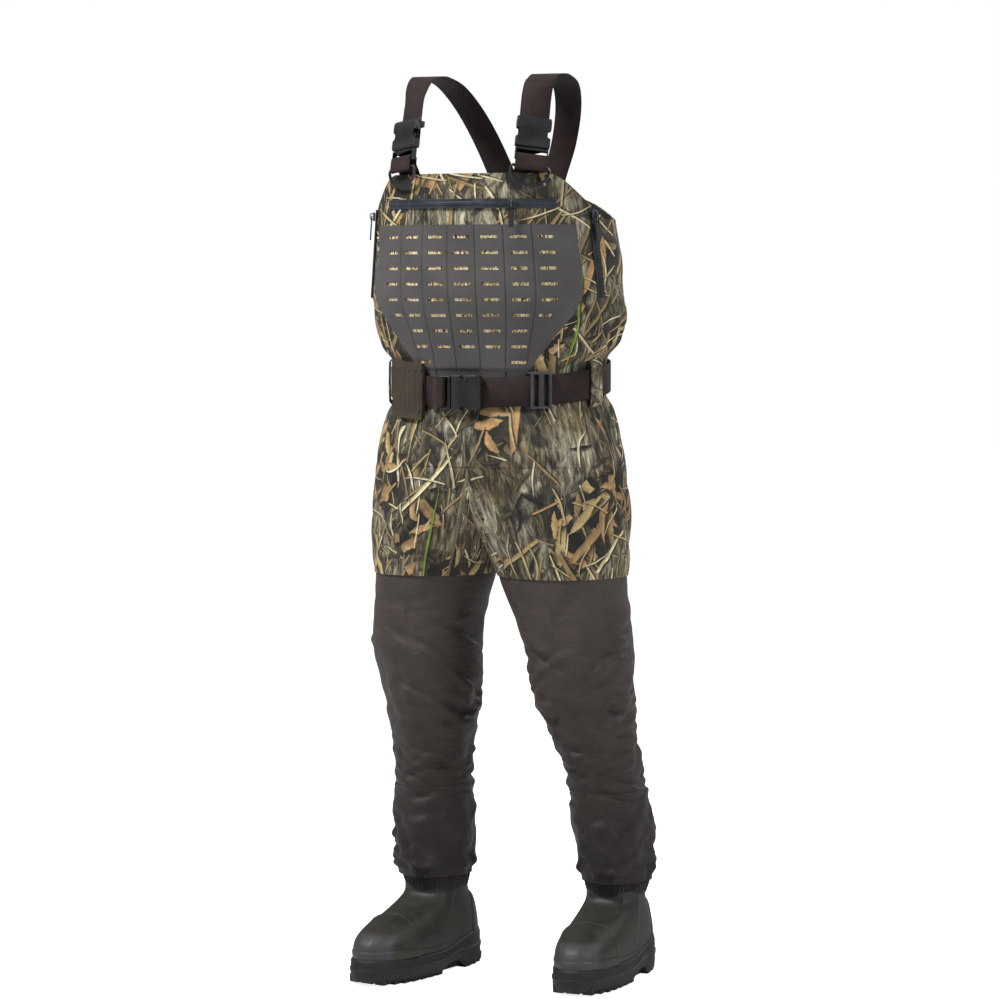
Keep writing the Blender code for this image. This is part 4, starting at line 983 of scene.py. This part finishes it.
def settle(sheets):
    """Lets the legs' cloth buckle: each has more cloth than height, and its edges are held."""
    for obj, heights, turns in sheets:
        rows, columns = len(heights), len(turns)
        obj.shape_key_add(name="standing")
        slack = obj.shape_key_add(name="slack")
        steps = np.diff(heights) * (1 + leg_slack(heights[:-1]))
        points = rows_of(obj, rows)
        middle = points.mean(axis=1, keepdims=True)
        wide = middle + (points - middle) * (1.035, 1.035, 1.0)
        wide[..., 2] = (heights[0] + np.concatenate([[0], np.cumsum(steps)]))[:, None]
        slack.data.foreach_set("co", wide.reshape(-1).astype(np.float32))
        slack.value = 0.0
        held = obj.vertex_groups.new(name="held")
        edge_rows = (0, 1, rows - 2, rows - 1)
        held.add([r * columns + c for r in edge_rows for c in range(columns)], 1.0, "REPLACE")
        cloth = obj.modifiers.new("cloth", "CLOTH")
        for key, value in FABRIC.items():
            setattr(cloth.settings, key, value)
        cloth.settings.rest_shape_key = slack
        cloth.settings.vertex_group_mass = "held"
        cloth.settings.effector_weights.gravity = 0.5
        cloth.collision_settings.use_collision = False
        cloth.collision_settings.use_self_collision = False
        cloth.point_cache.frame_start = 1
        cloth.point_cache.frame_end = SETTLING_FRAMES
    scene = bpy.context.scene
    for number in range(1, SETTLING_FRAMES + 1):
        scene.frame_set(number)
    graph = bpy.context.evaluated_depsgraph_get()
    for obj, *_ in sheets:
        settled = obj.evaluated_get(graph).to_mesh()
        flat = np.zeros(len(settled.vertices) * 3, np.float32)
        settled.vertices.foreach_get("co", flat)
        obj.modifiers.clear()
        obj.shape_key_clear()
        obj.data.vertices.foreach_set("co", flat)
    scene.frame_set(1)


def capped(points, rest, most_in=0.010, most_out=0.014):
    """Keeps settled cloth within reach of the leg that it started on."""
    outward = around_middle(rest)[0] * (1, 1, 0)
    outward /= np.linalg.norm(outward, axis=2, keepdims=True)
    moved = points - rest
    out = (moved * outward).sum(axis=2, keepdims=True)
    most = np.where(out > 0, most_out, most_in)
    up = np.clip(moved[..., 2:3], -0.014, 0.014)
    return rest + outward * most * np.tanh(out / most) + up * (0, 0, 1)


def eased(points):
    """Softens single-thread kinks, which a fabric this stiff doesn't show."""
    beside = (np.roll(points, 1, axis=1) + np.roll(points, -1, axis=1)) / 2
    points = points + 0.35 * (beside - points)
    stacked = points.copy()
    stacked[1:-1] += 0.35 * ((points[:-2] + points[2:]) / 2 - points[1:-1])
    return stacked


def leg_pieces():
    """The brown legs: creased cloth, split at the gaiter's seam."""
    sheets = {side: leg_sheet(side) for side in SIDES}
    rest, creased = {}, {}
    for side, (obj, heights, turns) in sheets.items():
        rest[side] = rows_of(obj, len(heights))
        away, far = around_middle(rest[side])
        creased[side] = rest[side] + away / far * designed_folds(side, turns, heights)[..., None]
        obj.data.vertices.foreach_set("co", creased[side].reshape(-1).astype(np.float32))
    settle(list(sheets.values()))
    for side, (obj, heights, turns) in sheets.items():
        settled = capped(rows_of(obj, len(heights)), rest[side])
        points = eased(eased(creased[side] * (1 - SETTLED_SHARE) + settled * SETTLED_SHARE))
        bpy.data.objects.remove(obj)
        seam = int(np.argmin(np.abs(heights - GAITER_TOP)))
        cloth = cloth_grid(len(turns), LEG_GIRTH, heights)
        upper = grid_object(f"{side}_trouser_leg", points[seam - 1 :], cloth[seam - 1 :], closed=True)
        below = points[: seam + 1]
        away, far = around_middle(below)
        hem = 0.0012 * ridge(np.arange(seam + 1), seam, 2.0)[:, None, None]
        below = below + away / far * hem
        lower = grid_object(f"{side}_gaiter_sheet", below, cloth[: seam + 1], closed=True)
        for piece in (upper, lower):
            fine = piece.modifiers.new("fine", "SUBSURF")
            fine.levels = fine.render_levels = 1
            apply_modifiers(piece)
            wear(thicken(piece, lined=True), "brown_nylon")
        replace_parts(upper, f"{side}_thigh", f"{side}_knee", f"{side}_shin")
        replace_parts(lower, f"{side}_gaiter")
        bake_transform(upper)
        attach(lower, f"{side}_lower_leg")


def ankle_cuff(side):
    """The elastic hem round the ankle: tightly gathered, blending from the leg to the boot."""
    low, high = (corner.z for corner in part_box(f"{side}_ankle_cuff"))
    columns, rows = 300, 22
    turns = np.linspace(0, 2 * math.pi, columns, endpoint=False)
    heights = np.linspace(low + 0.002, high + 0.006, rows)
    tube = Tube([f"{side}_ankle_cuff"], per_node=4)
    top = LEG[side].at(GAITER_LOW + 0.004)
    first, second = np.random.default_rng(7).uniform(0, 2 * math.pi, 2)
    grid = []
    for t, height in zip(np.linspace(0, 1, rows), heights):
        x, y, a, b = tube.at(min(height, high - 0.002)) * (1 - t**2) + top * t**2
        swing = 2.2 * np.sin(7 * turns + second) + 1.4 * np.sin(9 * t + turns * 3)
        pleat = np.sin(62 * turns + first + swing)
        out = 0.0012 * math.sin(math.pi * t) - 0.0012 * ridge(t, 0.66, 0.07)
        out = out + 0.0010 * (0.4 + math.sin(math.pi * t)) * pleat
        ring = (x + (a + out) * np.sin(turns), y - (b + out) * np.cos(turns), np.full(columns, height))
        grid.append(np.stack(ring, axis=1))
    cloth = cloth_grid(columns, LEG_GIRTH, heights)
    cuff = thicken(grid_object(f"{side}_elastic_cuff", np.array(grid), cloth, closed=True), 0.0015)
    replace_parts(wear(cuff, "brown_nylon"), f"{side}_ankle_cuff")
    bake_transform(cuff)


# Boots.


# Under 1, this squares off the toe and heel. The outline is a little narrower than the CAD's in return.
BLUNT, NARROWER = 0.80, 0.985


class Foot:
    """The boot's own directions: forward along the foot, sideways across it, from the ankle's axis."""

    def __init__(self, side):
        ankle = joint(f"{side}_ankle_flexion")
        across = -np.array(ankle["axis"])
        self.across = across / np.linalg.norm(across)
        self.ahead = np.array([self.across[1], -self.across[0], 0.0])
        self.ankle = np.array(ankle["pos_m"]) * (1, 1, 0)

    def outline(self, node, height):
        """How far the node reaches ahead, behind and to a side at a height."""
        cut = crossings(points_of(node), edges_of(node), height) - self.ankle
        forward, sideways = cut @ self.ahead, cut @ self.across
        return forward.max(), -forward.min(), (sideways.max() - sideways.min()) / 2

    def point(self, forward, sideways, height):
        return self.ankle + forward * self.ahead + sideways * self.across + np.array([0, 0, height])


def foot_shape(reach, behind, half, turn):
    """A foot-shaped outline: forward and sideways at this turn from the toe."""
    cosine, sine = math.cos(turn), math.sin(turn)
    forward = (reach if cosine > 0 else behind) * math.copysign(abs(cosine) ** BLUNT, cosine)
    return forward, half * NARROWER * (1 + 0.1 * cosine) * math.copysign(abs(sine) ** BLUNT, sine)


def boot_table(foot, node):
    low, high = (corner.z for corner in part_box(node))
    heights = np.linspace(low + 0.0008, high - 0.0008, 24)
    return np.array([[h, *foot.outline(node, h)] for h in heights])


def even_heights(table, step):
    """Heights spaced evenly along the boot's front profile, so that seams are sharp on the instep."""
    path = np.concatenate([[0], np.cumsum(np.hypot(np.diff(table[:, 0]), np.diff(table[:, 1])))])
    return np.interp(np.arange(0, path[-1], step), path, table[:, 0])


def boot_shell(side, foot):
    """The rubber upper: vamp, heel counter and shaft with raised seams, up inside the elastic cuff."""
    table = boot_table(foot, f"{side}_boot_upper")
    columns, top = 200, table[-1, 0]
    turns = np.linspace(0, 2 * math.pi, columns, endpoint=False)
    heights = np.concatenate([even_heights(table, 0.0014), np.linspace(top + 0.002, top + 0.016, 6)])
    grid = np.zeros((len(heights), columns, 3))
    lift = np.zeros((len(heights), columns, 1))
    for r, height in enumerate(heights):
        fine = np.clip(np.linspace(height - 0.006, height + 0.006, 7), table[0, 0], top)
        reach, behind, half = (np.interp(fine, table[:, 0], table[:, k]).mean() for k in (1, 2, 3))
        for c, turn in enumerate(turns):
            forward, sideways = foot_shape(reach, behind, half, turn)
            grid[r, c] = foot.point(forward, sideways, height)
            lift[r, c] = seam_lift(forward, sideways, height)
    around = np.roll(grid, -1, axis=1) - np.roll(grid, 1, axis=1)
    outward = np.cross(around, np.gradient(grid, axis=0))
    outward /= np.linalg.norm(outward, axis=2, keepdims=True)
    outward *= np.sign((outward * around_middle(grid)[0]).sum(axis=2).mean())
    grid += lift * outward
    cloth = cloth_grid(columns, BOOT_GIRTH, heights)
    shell = thicken(grid_object(f"{side}_boot_shell", grid, cloth, closed=True), 0.004)
    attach(wear(shell, "boot_rubber"), f"{side}_foot")
    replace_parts(shell, f"{side}_boot_upper", f"{side}_toe_cap")


def seam_lift(forward, sideways, height):
    """Raised rubber: the toe cap, a band over its middle, side seams, the heel counter and a rand."""
    aside = abs(sideways)
    cap_edge = 0.128 + 4.0 * sideways**2 - 0.10 * (0.095 - height)
    cap = edge(forward, cap_edge)
    lift = 0.0024 * cap + 0.0012 * ridge(forward, cap_edge + 0.0022, 0.0028)
    lift += 0.0008 * cap * (1 - smoothstep(aside, 0.013, 0.0155))
    vamp = aside - 0.022 - 0.12 * max(0.13 - forward, 0.0)
    shown = smoothstep(height, 0.078, 0.088) * smoothstep(forward, 0.0, 0.02)
    shown *= 1 - smoothstep(forward, cap_edge - 0.030, cap_edge - 0.014)
    lift += 0.0010 * shown * ridge(vamp, 0, 0.0022)
    side_line = 0.070 - 0.55 * (height - 0.045)
    lift += 0.0010 * ridge(forward, side_line, 0.0022) * smoothstep(aside, 0.030, 0.040)
    heel_line = 0.032 + 0.16 * (height - 0.06)
    lift += 0.0015 * edge(-forward, heel_line) * (1 - smoothstep(height, 0.120, 0.128))
    rand = 0.051 + 0.006 * smoothstep(forward, 0.10, 0.16) + 0.010 * smoothstep(-forward, -0.01, 0.04)
    return lift + 0.0016 * (1 - edge(height, rand))


# The sole's wall from bottom to top: share of its height, and how far it stands out.
SOLE_WALL = (
    (0.0, -0.012), (0.0, -0.003), (0.10, -0.001), (0.24, 0.0012), (0.44, 0.0010), (0.46, 0.0022),
    (0.58, 0.0024), (0.60, 0.0008), (0.90, 0.0006), (0.96, -0.0004), (1.0, -0.0026),
)


def sole(side, foot):
    """The lugged rubber sole: its wall climbs at the heel, and its underside lifts at the arch."""
    low, high = (corner.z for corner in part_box(f"{side}_outsole"))
    reach, behind, half = foot.outline(f"{side}_outsole", high - 0.008)
    columns = 160
    turns = np.linspace(0, 2 * math.pi, columns, endpoint=False)
    points = []
    for share, out in SOLE_WALL:
        for turn in turns:
            forward, sideways = foot_shape(reach + out, behind + out, half / NARROWER + out, turn)
            bottom, top = sole_profile(forward, low, high)
            points.append(foot.point(forward, sideways, bottom + (top - bottom) * share))
    for turn in turns:
        forward, sideways = foot_shape(reach - 0.014, behind - 0.014, half / NARROWER - 0.014, turn)
        points.append(foot.point(forward, sideways, high))
    rings = len(SOLE_WALL)
    faces = [cell(columns, r, c) for r in range(rings) for c in range(columns)]
    faces += [tuple(range(columns))[::-1], tuple(rings * columns + c for c in range(columns))]
    piece = joined(f"{side}_lugged_sole", [(points, faces)] + lugs(foot, low, reach, behind, half))
    add_bevel(piece, 0.0010, 40)
    apply_modifiers(piece)
    piece.data.shade_smooth()
    piece.data.set_sharp_from_angle(angle=math.radians(50))
    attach(wear(piece, "sole_rubber"), f"{side}_foot")
    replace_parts(piece, f"{side}_outsole")


def toe_spring(forward):
    """How far the underside curves up towards the toe."""
    return 0.003 * smoothstep(forward, 0.15, 0.235)


def sole_profile(forward, low, high):
    """The underside's and the upper edge's height at a distance ahead of the ankle."""
    arch = 0.013 * smoothstep(forward, 0.002, 0.018) * (1 - smoothstep(forward, 0.036, 0.082))
    climb = 0.017 * (1 - smoothstep(forward, -0.030, 0.070))
    wave = 0.003 * smoothstep(forward, 0.14, 0.20)
    return low + 0.0034 + toe_spring(forward) + arch, high + climb + wave


def lugs(foot, low, reach, behind, half):
    """Tread blocks down each side and along the middle, apart from the arch."""
    pitch, long, tall = 0.0215, 0.0190, 0.014
    places = [-0.085 + pitch * k for k in range(4)] + [0.068 + pitch * k for k in range(7)]
    found = []
    for k, start in enumerate(places):
        middle = start + long / 2
        most = reach if middle > 0 else behind
        turn = math.acos(min(abs(middle) / (most + 0.001), 0.985) ** (1 / BLUNT))
        turn = turn if middle > 0 else math.pi - turn
        width = foot_shape(reach, behind, half / NARROWER, turn)[1]
        inner = width * 0.32 - (0.004 if k % 2 else 0.0)
        bottom = low + toe_spring(middle)
        for span in ((-width + 0.0025, -width * 0.42), (-inner, inner), (width * 0.42, width - 0.0025)):
            found.append(lug(foot, (start, start + long), span, bottom, bottom + tall))
    return found


def lug(foot, along, across, low, high):
    """One tapered block."""
    points = []
    for height, inset in ((low, 0.0008), (high, 0.0)):
        for forward in (along[0] + inset, along[1] - inset):
            for sideways in (across[0] + inset, across[1] - inset):
                points.append(foot.point(forward, sideways, height))
    return points, [(0, 1, 3, 2), (4, 6, 7, 5), (0, 4, 5, 1), (2, 3, 7, 6), (0, 2, 6, 4), (1, 5, 7, 3)]


def liner(side):
    """The neoprene bootie, a copy of the CAD node's shape."""
    old = frame["nodes"][f"{side}_boot_liner"]
    piece = new_object(f"{side}_neoprene_bootie", old.data.copy())
    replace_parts(wear(piece, "neoprene"), f"{side}_boot_liner")
    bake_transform(piece)


# The chest.


# The panel in degrees round the torso: its seams, its side edges, those edges at the bottom, and its slot
# columns with how many slots each holds from the top. Up to the last columns but one, nothing draws in.
PANEL_SEAMS = (-33.2, -19.7, -6.5, 6.5, 19.7, 33.2)
PANEL_EDGE, PANEL_EDGE_LOW = 57.0, 33.0
SLOT_COLUMNS = {-40.0: 6, -26.5: 9, -13.0: 8, 0.0: 8, 13.0: 8, 26.5: 9, 40.0: 6}
SLOT_HALF = 4.0
PANEL_FIXED = 26.5 + SLOT_HALF

# Heights in metres. The corner is where the panel reaches its full width, measured from its low edge. Below
# that edge it thins out over the lip, and goes on behind the belt for the tuck.
SLOT_TALL, SLOT_PITCH, FIRST_SLOT = 0.0054, 0.0262, 0.020
PANEL_CORNER, PANEL_TUCK, PANEL_LIP = 0.115, 0.020, 0.004


def panel_angle(angle, rise):
    """Draws the panel's sides in below its corners. The rise is 0 at the low edge and 1 at the corners."""
    if abs(angle) <= PANEL_FIXED:
        return angle
    side = PANEL_EDGE_LOW + (PANEL_EDGE - PANEL_EDGE_LOW) * min(rise, 1.0)
    share = (side - PANEL_FIXED) / (PANEL_EDGE - PANEL_FIXED)
    return math.copysign(PANEL_FIXED + (abs(angle) - PANEL_FIXED) * share, angle)


def between_marks(marks, count):
    """Each span between marks cut into equal parts."""
    spans = [np.linspace(first, last, count + 1)[:-1] for first, last in zip(marks, marks[1:])]
    return [*np.concatenate(spans), marks[-1]]


def chest_panel():
    """The grey panel: slots cut right through, seams between their columns, its low edge tucked in."""
    low, high = (corner.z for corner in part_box("chest_panel"))
    seams = {b + s for b in PANEL_SEAMS for s in (-0.5, 0, 0.5)}
    slots = {c + s for c in SLOT_COLUMNS for s in (-SLOT_HALF, SLOT_HALF)}
    angles = between_marks(sorted({-PANEL_EDGE, PANEL_EDGE} | seams | slots), 3)
    centres = [high - FIRST_SLOT - SLOT_PITCH * k for k in range(max(SLOT_COLUMNS.values()))]
    sides = [c + s for c in centres for s in (-SLOT_TALL / 2, SLOT_TALL / 2)]
    heights = between_marks(sorted([low - PANEL_TUCK, low - PANEL_LIP, low, high] + sides), 2)
    made = []
    for height in heights:
        lift = 0.0004 + 0.0022 * smoothstep(height, low - PANEL_LIP, low)
        turns = [math.radians(panel_angle(a, (height - low) / PANEL_CORNER)) for a in angles]
        made.append([on_torso(t, height, lift - 0.0011 * seam_dent(a)) for t, a in zip(turns, angles)])
    grid = np.array([[point for point, _ in row] for row in made])
    cloth = [[place for _, place in row] for row in made]

    def open_at(angle, height):
        """Whether a slot is here."""
        for place, count in SLOT_COLUMNS.items():
            if abs(angle - place) < SLOT_HALF:
                return any(abs(height - c) < SLOT_TALL / 2 for c in centres[:count])
        return False

    holes = set()
    for r in range(len(heights) - 1):
        for c in range(len(angles) - 1):
            if open_at((angles[c] + angles[c + 1]) / 2, (heights[r] + heights[r + 1]) / 2):
                holes.add((r, c))
    panel = thicken(grid_object("slotted_panel", grid, cloth, holes=holes), 0.0012)
    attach(wear(panel, "grey_panel"), "garment")
    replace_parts(panel, "chest_panel")
    start = heights.index(low)
    sunk = grid[start:, 2:-2].copy()
    away = (sunk - (CENTRE_X, TORSO.at(1.2)[1], 0)) * (1, 1, 0)
    sunk -= 0.0014 * away / np.linalg.norm(away, axis=2, keepdims=True)
    backing = thicken(grid_object("slot_backing", sunk, [row[2:-2] for row in cloth[start:]]), 0.0006)
    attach(wear(backing, "slot_backing"), "garment")


def seam_dent(angle):
    """How deep the stitching pulls the panel in, from 0 to 1."""
    return 1.0 if min(abs(angle - seam) for seam in PANEL_SEAMS) < 0.4 else 0.0


# Webbing.


def ring_middles(node, width):
    """The middle of each cross-section along a webbing node, from its lower front end to its other end."""
    points, edges = points_of(node), edges_of(node)
    ends = points[edges]
    across = ends[:, 1] - ends[:, 0]
    rung = np.abs(np.linalg.norm(across, axis=1) - width) < 0.0002
    middles, spans = ends[rung].mean(axis=1), across[rung] / width
    order = [int(np.argmin(middles[:, 2] + middles[:, 1]))]
    left = set(range(len(middles))) - set(order)
    while left:
        here = middles[order[-1]]
        nearest = min(left, key=lambda k: np.linalg.norm(middles[k] - here))
        order.append(nearest)
        left.discard(nearest)
    found = []
    for k in order:
        if found and np.linalg.norm(found[-1][0][0] - middles[k]) < 0.0035:
            found[-1][0].append(middles[k])
        else:
            found.append(([middles[k]], spans[k]))
    centres = np.array([np.mean(group, axis=0) for group, _ in found])
    across = np.array([span * math.copysign(1, span[0]) for _, span in found])
    return centres, across


def rounded_path(values, steps=10):
    """A smooth curve through the points, by Catmull and Rom."""
    padded = np.concatenate([[2 * values[0] - values[1]], values, [2 * values[-1] - values[-2]]])
    found = []
    for k in range(1, len(padded) - 2):
        a, b, c, d = padded[k - 1 : k + 3]
        for t in np.arange(steps) / steps:
            curve = (2 * a - 5 * b + 4 * c - d) * t**2 + (3 * b - a - 3 * c + d) * t**3
            found.append(0.5 * (2 * b + (c - a) * t + curve))
    return np.array(found + [values[-1]])


def webbing_strip(name, centres, across):
    """Flat webbing along a path, with rounded selvedges."""
    along = np.gradient(centres, axis=0)
    out = np.cross(across, along)
    out /= np.linalg.norm(out, axis=1, keepdims=True)
    half, thin = WEBBING_WIDTH / 2, WEBBING_THICKNESS / 2
    near = half - 0.0006
    face = [(-near, -thin), (0, -thin), (near, -thin), (half, -thin * 0.3), (half, thin * 0.3)]
    profile = face + [(-u, -v) for u, v in face]
    grid = np.stack([centres + across * u + out * v for u, v in profile], axis=1)
    run = np.concatenate([[0], np.cumsum(np.linalg.norm(np.diff(centres, axis=0), axis=1))])
    cloth = [[(u, v) for u, _ in profile + profile[:1]] for v in run]
    strip = grid_object(name, grid, cloth, closed=True)
    face_outward(strip.data, fill=True)
    strip.data.set_sharp_from_angle(angle=math.radians(60))
    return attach(wear(strip, "webbing_cloth"), "garment")


def shoulder_strap(side):
    node = f"{side}_shoulder_strap"
    centres, across = ring_middles(node, WEBBING_WIDTH)
    across = rounded_path(across)
    across /= np.linalg.norm(across, axis=1, keepdims=True)
    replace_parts(webbing_strip(f"{side}_webbing_strap", rounded_path(centres), across), node)


def belt_strip():
    """The belt's webbing as one smooth oval. Its ends meet out of sight, behind the buckle."""
    x, y, a, b = section("belt_webbing", BELT_MIDDLE)
    turns = np.linspace(-math.pi, math.pi, 200) + math.radians(171)
    a, b = a - WEBBING_THICKNESS / 2, b - WEBBING_THICKNESS / 2
    centres = np.stack([x + a * np.sin(turns), y - b * np.cos(turns), belt_height(turns)], axis=1)
    across = np.tile((0.0, 0.0, 1.0), (len(turns), 1))
    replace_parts(webbing_strip("waist_belt", centres, across), "belt_webbing")


# CAD nodes that keep their shape.


def dress(node, name, bevel=0.0, slot=None):
    """A CAD node that stays gets clean flat faces and a material, and maybe rounded edges."""
    obj = frame["nodes"][node]
    weld = obj.modifiers.new("weld", "WELD")
    weld.merge_threshold = 0.00001
    flat = obj.modifiers.new("quads", "DECIMATE")
    flat.decimate_type, flat.angle_limit = "DISSOLVE", math.radians(2)
    if bevel:
        add_bevel(obj, bevel, 35)
    wear(obj, name)


# Nodes that keep their CAD shape: material, bevel, and the record's slot where it has another name.
SIDE_NODES = {
    "d_ring": ("black_plastic",),
    "strap_tab": ("webbing",),
    "pocket_zip_tape": ("side_zip", 0.0003, "zip_tape"),
    "pocket_zip_slider": ("grey_metal", 0.0004),
    "pocket_zip_puller": ("black_plastic", 0.0004),
    "belt_loop": ("camouflage_side", 0.0, "camouflage"),
    "insole": ("neoprene",),
}
MIDDLE_NODES = {
    "belt_tri_glide": ("grey_metal", 0.0006),
    "belt_end_fold": ("webbing",),
    "back_belt_loop": ("camouflage_back", 0.0, "camouflage"),
    "back_yoke": ("camouflage_back", 0.0, "camouflage"),
    "shell_holder": ("holder_elastic", 0.0, "brown_nylon"),
    "inner_pocket": ("neoprene",),
    "chest_zip_tape": ("zip_tape", 0.0003),
    "chest_zip_slider": ("grey_metal", 0.0004),
    "chest_zip_puller": ("black_plastic", 0.0004),
}


def dress_nodes():
    nodes = dict(MIDDLE_NODES)
    for part in ("socket", "plug", "upper_prong", "lower_prong"):
        nodes[f"belt_buckle_{part}"] = ("black_plastic", 0.0006)
    for side in SIDES:
        nodes |= {f"{side}_{part}": look for part, look in SIDE_NODES.items()}
        for part in ("socket", "plug", "inner_prong", "outer_prong"):
            nodes[f"{side}_strap_buckle_{part}"] = ("black_plastic", 0.0006)
    for node, look in nodes.items():
        dress(node, *look)


# The studio.


def studio():
    scene = bpy.context.scene
    scene.view_settings.view_transform = "Standard"
    centre = (cad_low + cad_high) / 2
    bpy.ops.mesh.primitive_plane_add(size=40.0, location=(0, 0, -0.0005))
    floor = bpy.context.object
    floor.name = "studio_floor"
    made, g, shader = material("pale_floor")
    g.plug(shader, {
        "Base Color": (0.8, 0.8, 0.8, 1),
        "Roughness": 0.9,
        "Emission Color": (1, 1, 1, 1),
        "Emission Strength": g.times(0.86, g.seen()),
    })
    floor.data.materials.append(made)
    world(scene)
    lamps = (
        ("key", (-1.7, -2.1, 4.3), 0.9, 205),
        ("fill", (3.6, -0.8, 2.6), 1.2, 60),
        ("back", (0.6, 3.2, 3.0), 2.0, 60),
    )
    for name, place, width, power in lamps:
        lamp = bpy.data.lights.new(name, "AREA")
        lamp.size, lamp.energy = width, power
        obj = bpy.data.objects.new(name, lamp)
        obj.location = place
        obj.rotation_euler = (centre - obj.location).to_track_quat("-Z", "Y").to_euler()
        scene.collection.objects.link(obj)
    camera(scene)


def world(scene):
    """White where the camera sees it, softer as a light."""
    made = bpy.data.worlds.new("studio")
    scene.world = made
    made.use_nodes = True
    g = Graph(made.node_tree)
    background = made.node_tree.nodes["Background"]
    g.plug(background, {"Color": (1, 1, 1, 1), "Strength": g.range(g.seen(), 0.0, 1.0, 0.22, 1.0)})


def camera(scene):
    """Seen from the wearer's left front, from about chest height."""
    azimuth, distance, height, aim = math.radians(22), 5.8, 1.18, 0.822
    data = bpy.data.cameras.new("camera")
    data.sensor_width, data.lens = 36.0, 122.0
    obj = bpy.data.objects.new("camera", data)
    target = Vector((0.0, 0.0, aim)) + Vector((math.cos(azimuth), math.sin(azimuth), 0)) * -0.008
    obj.location = target + Vector((math.sin(azimuth), -math.cos(azimuth), 0)) * distance
    obj.location.z = height
    obj.rotation_euler = (target - obj.location).to_track_quat("-Z", "Y").to_euler()
    scene.collection.objects.link(obj)
    scene.camera = obj


def main():
    torso_shell()
    chest_panel()
    belt_strip()
    for side in SIDES:
        shoulder_strap(side)
        trouser_half(side)
        ankle_cuff(side)
        foot = Foot(side)
        boot_shell(side, foot)
        sole(side, foot)
        liner(side)
    leg_pieces()
    dress_nodes()
    studio()


main()
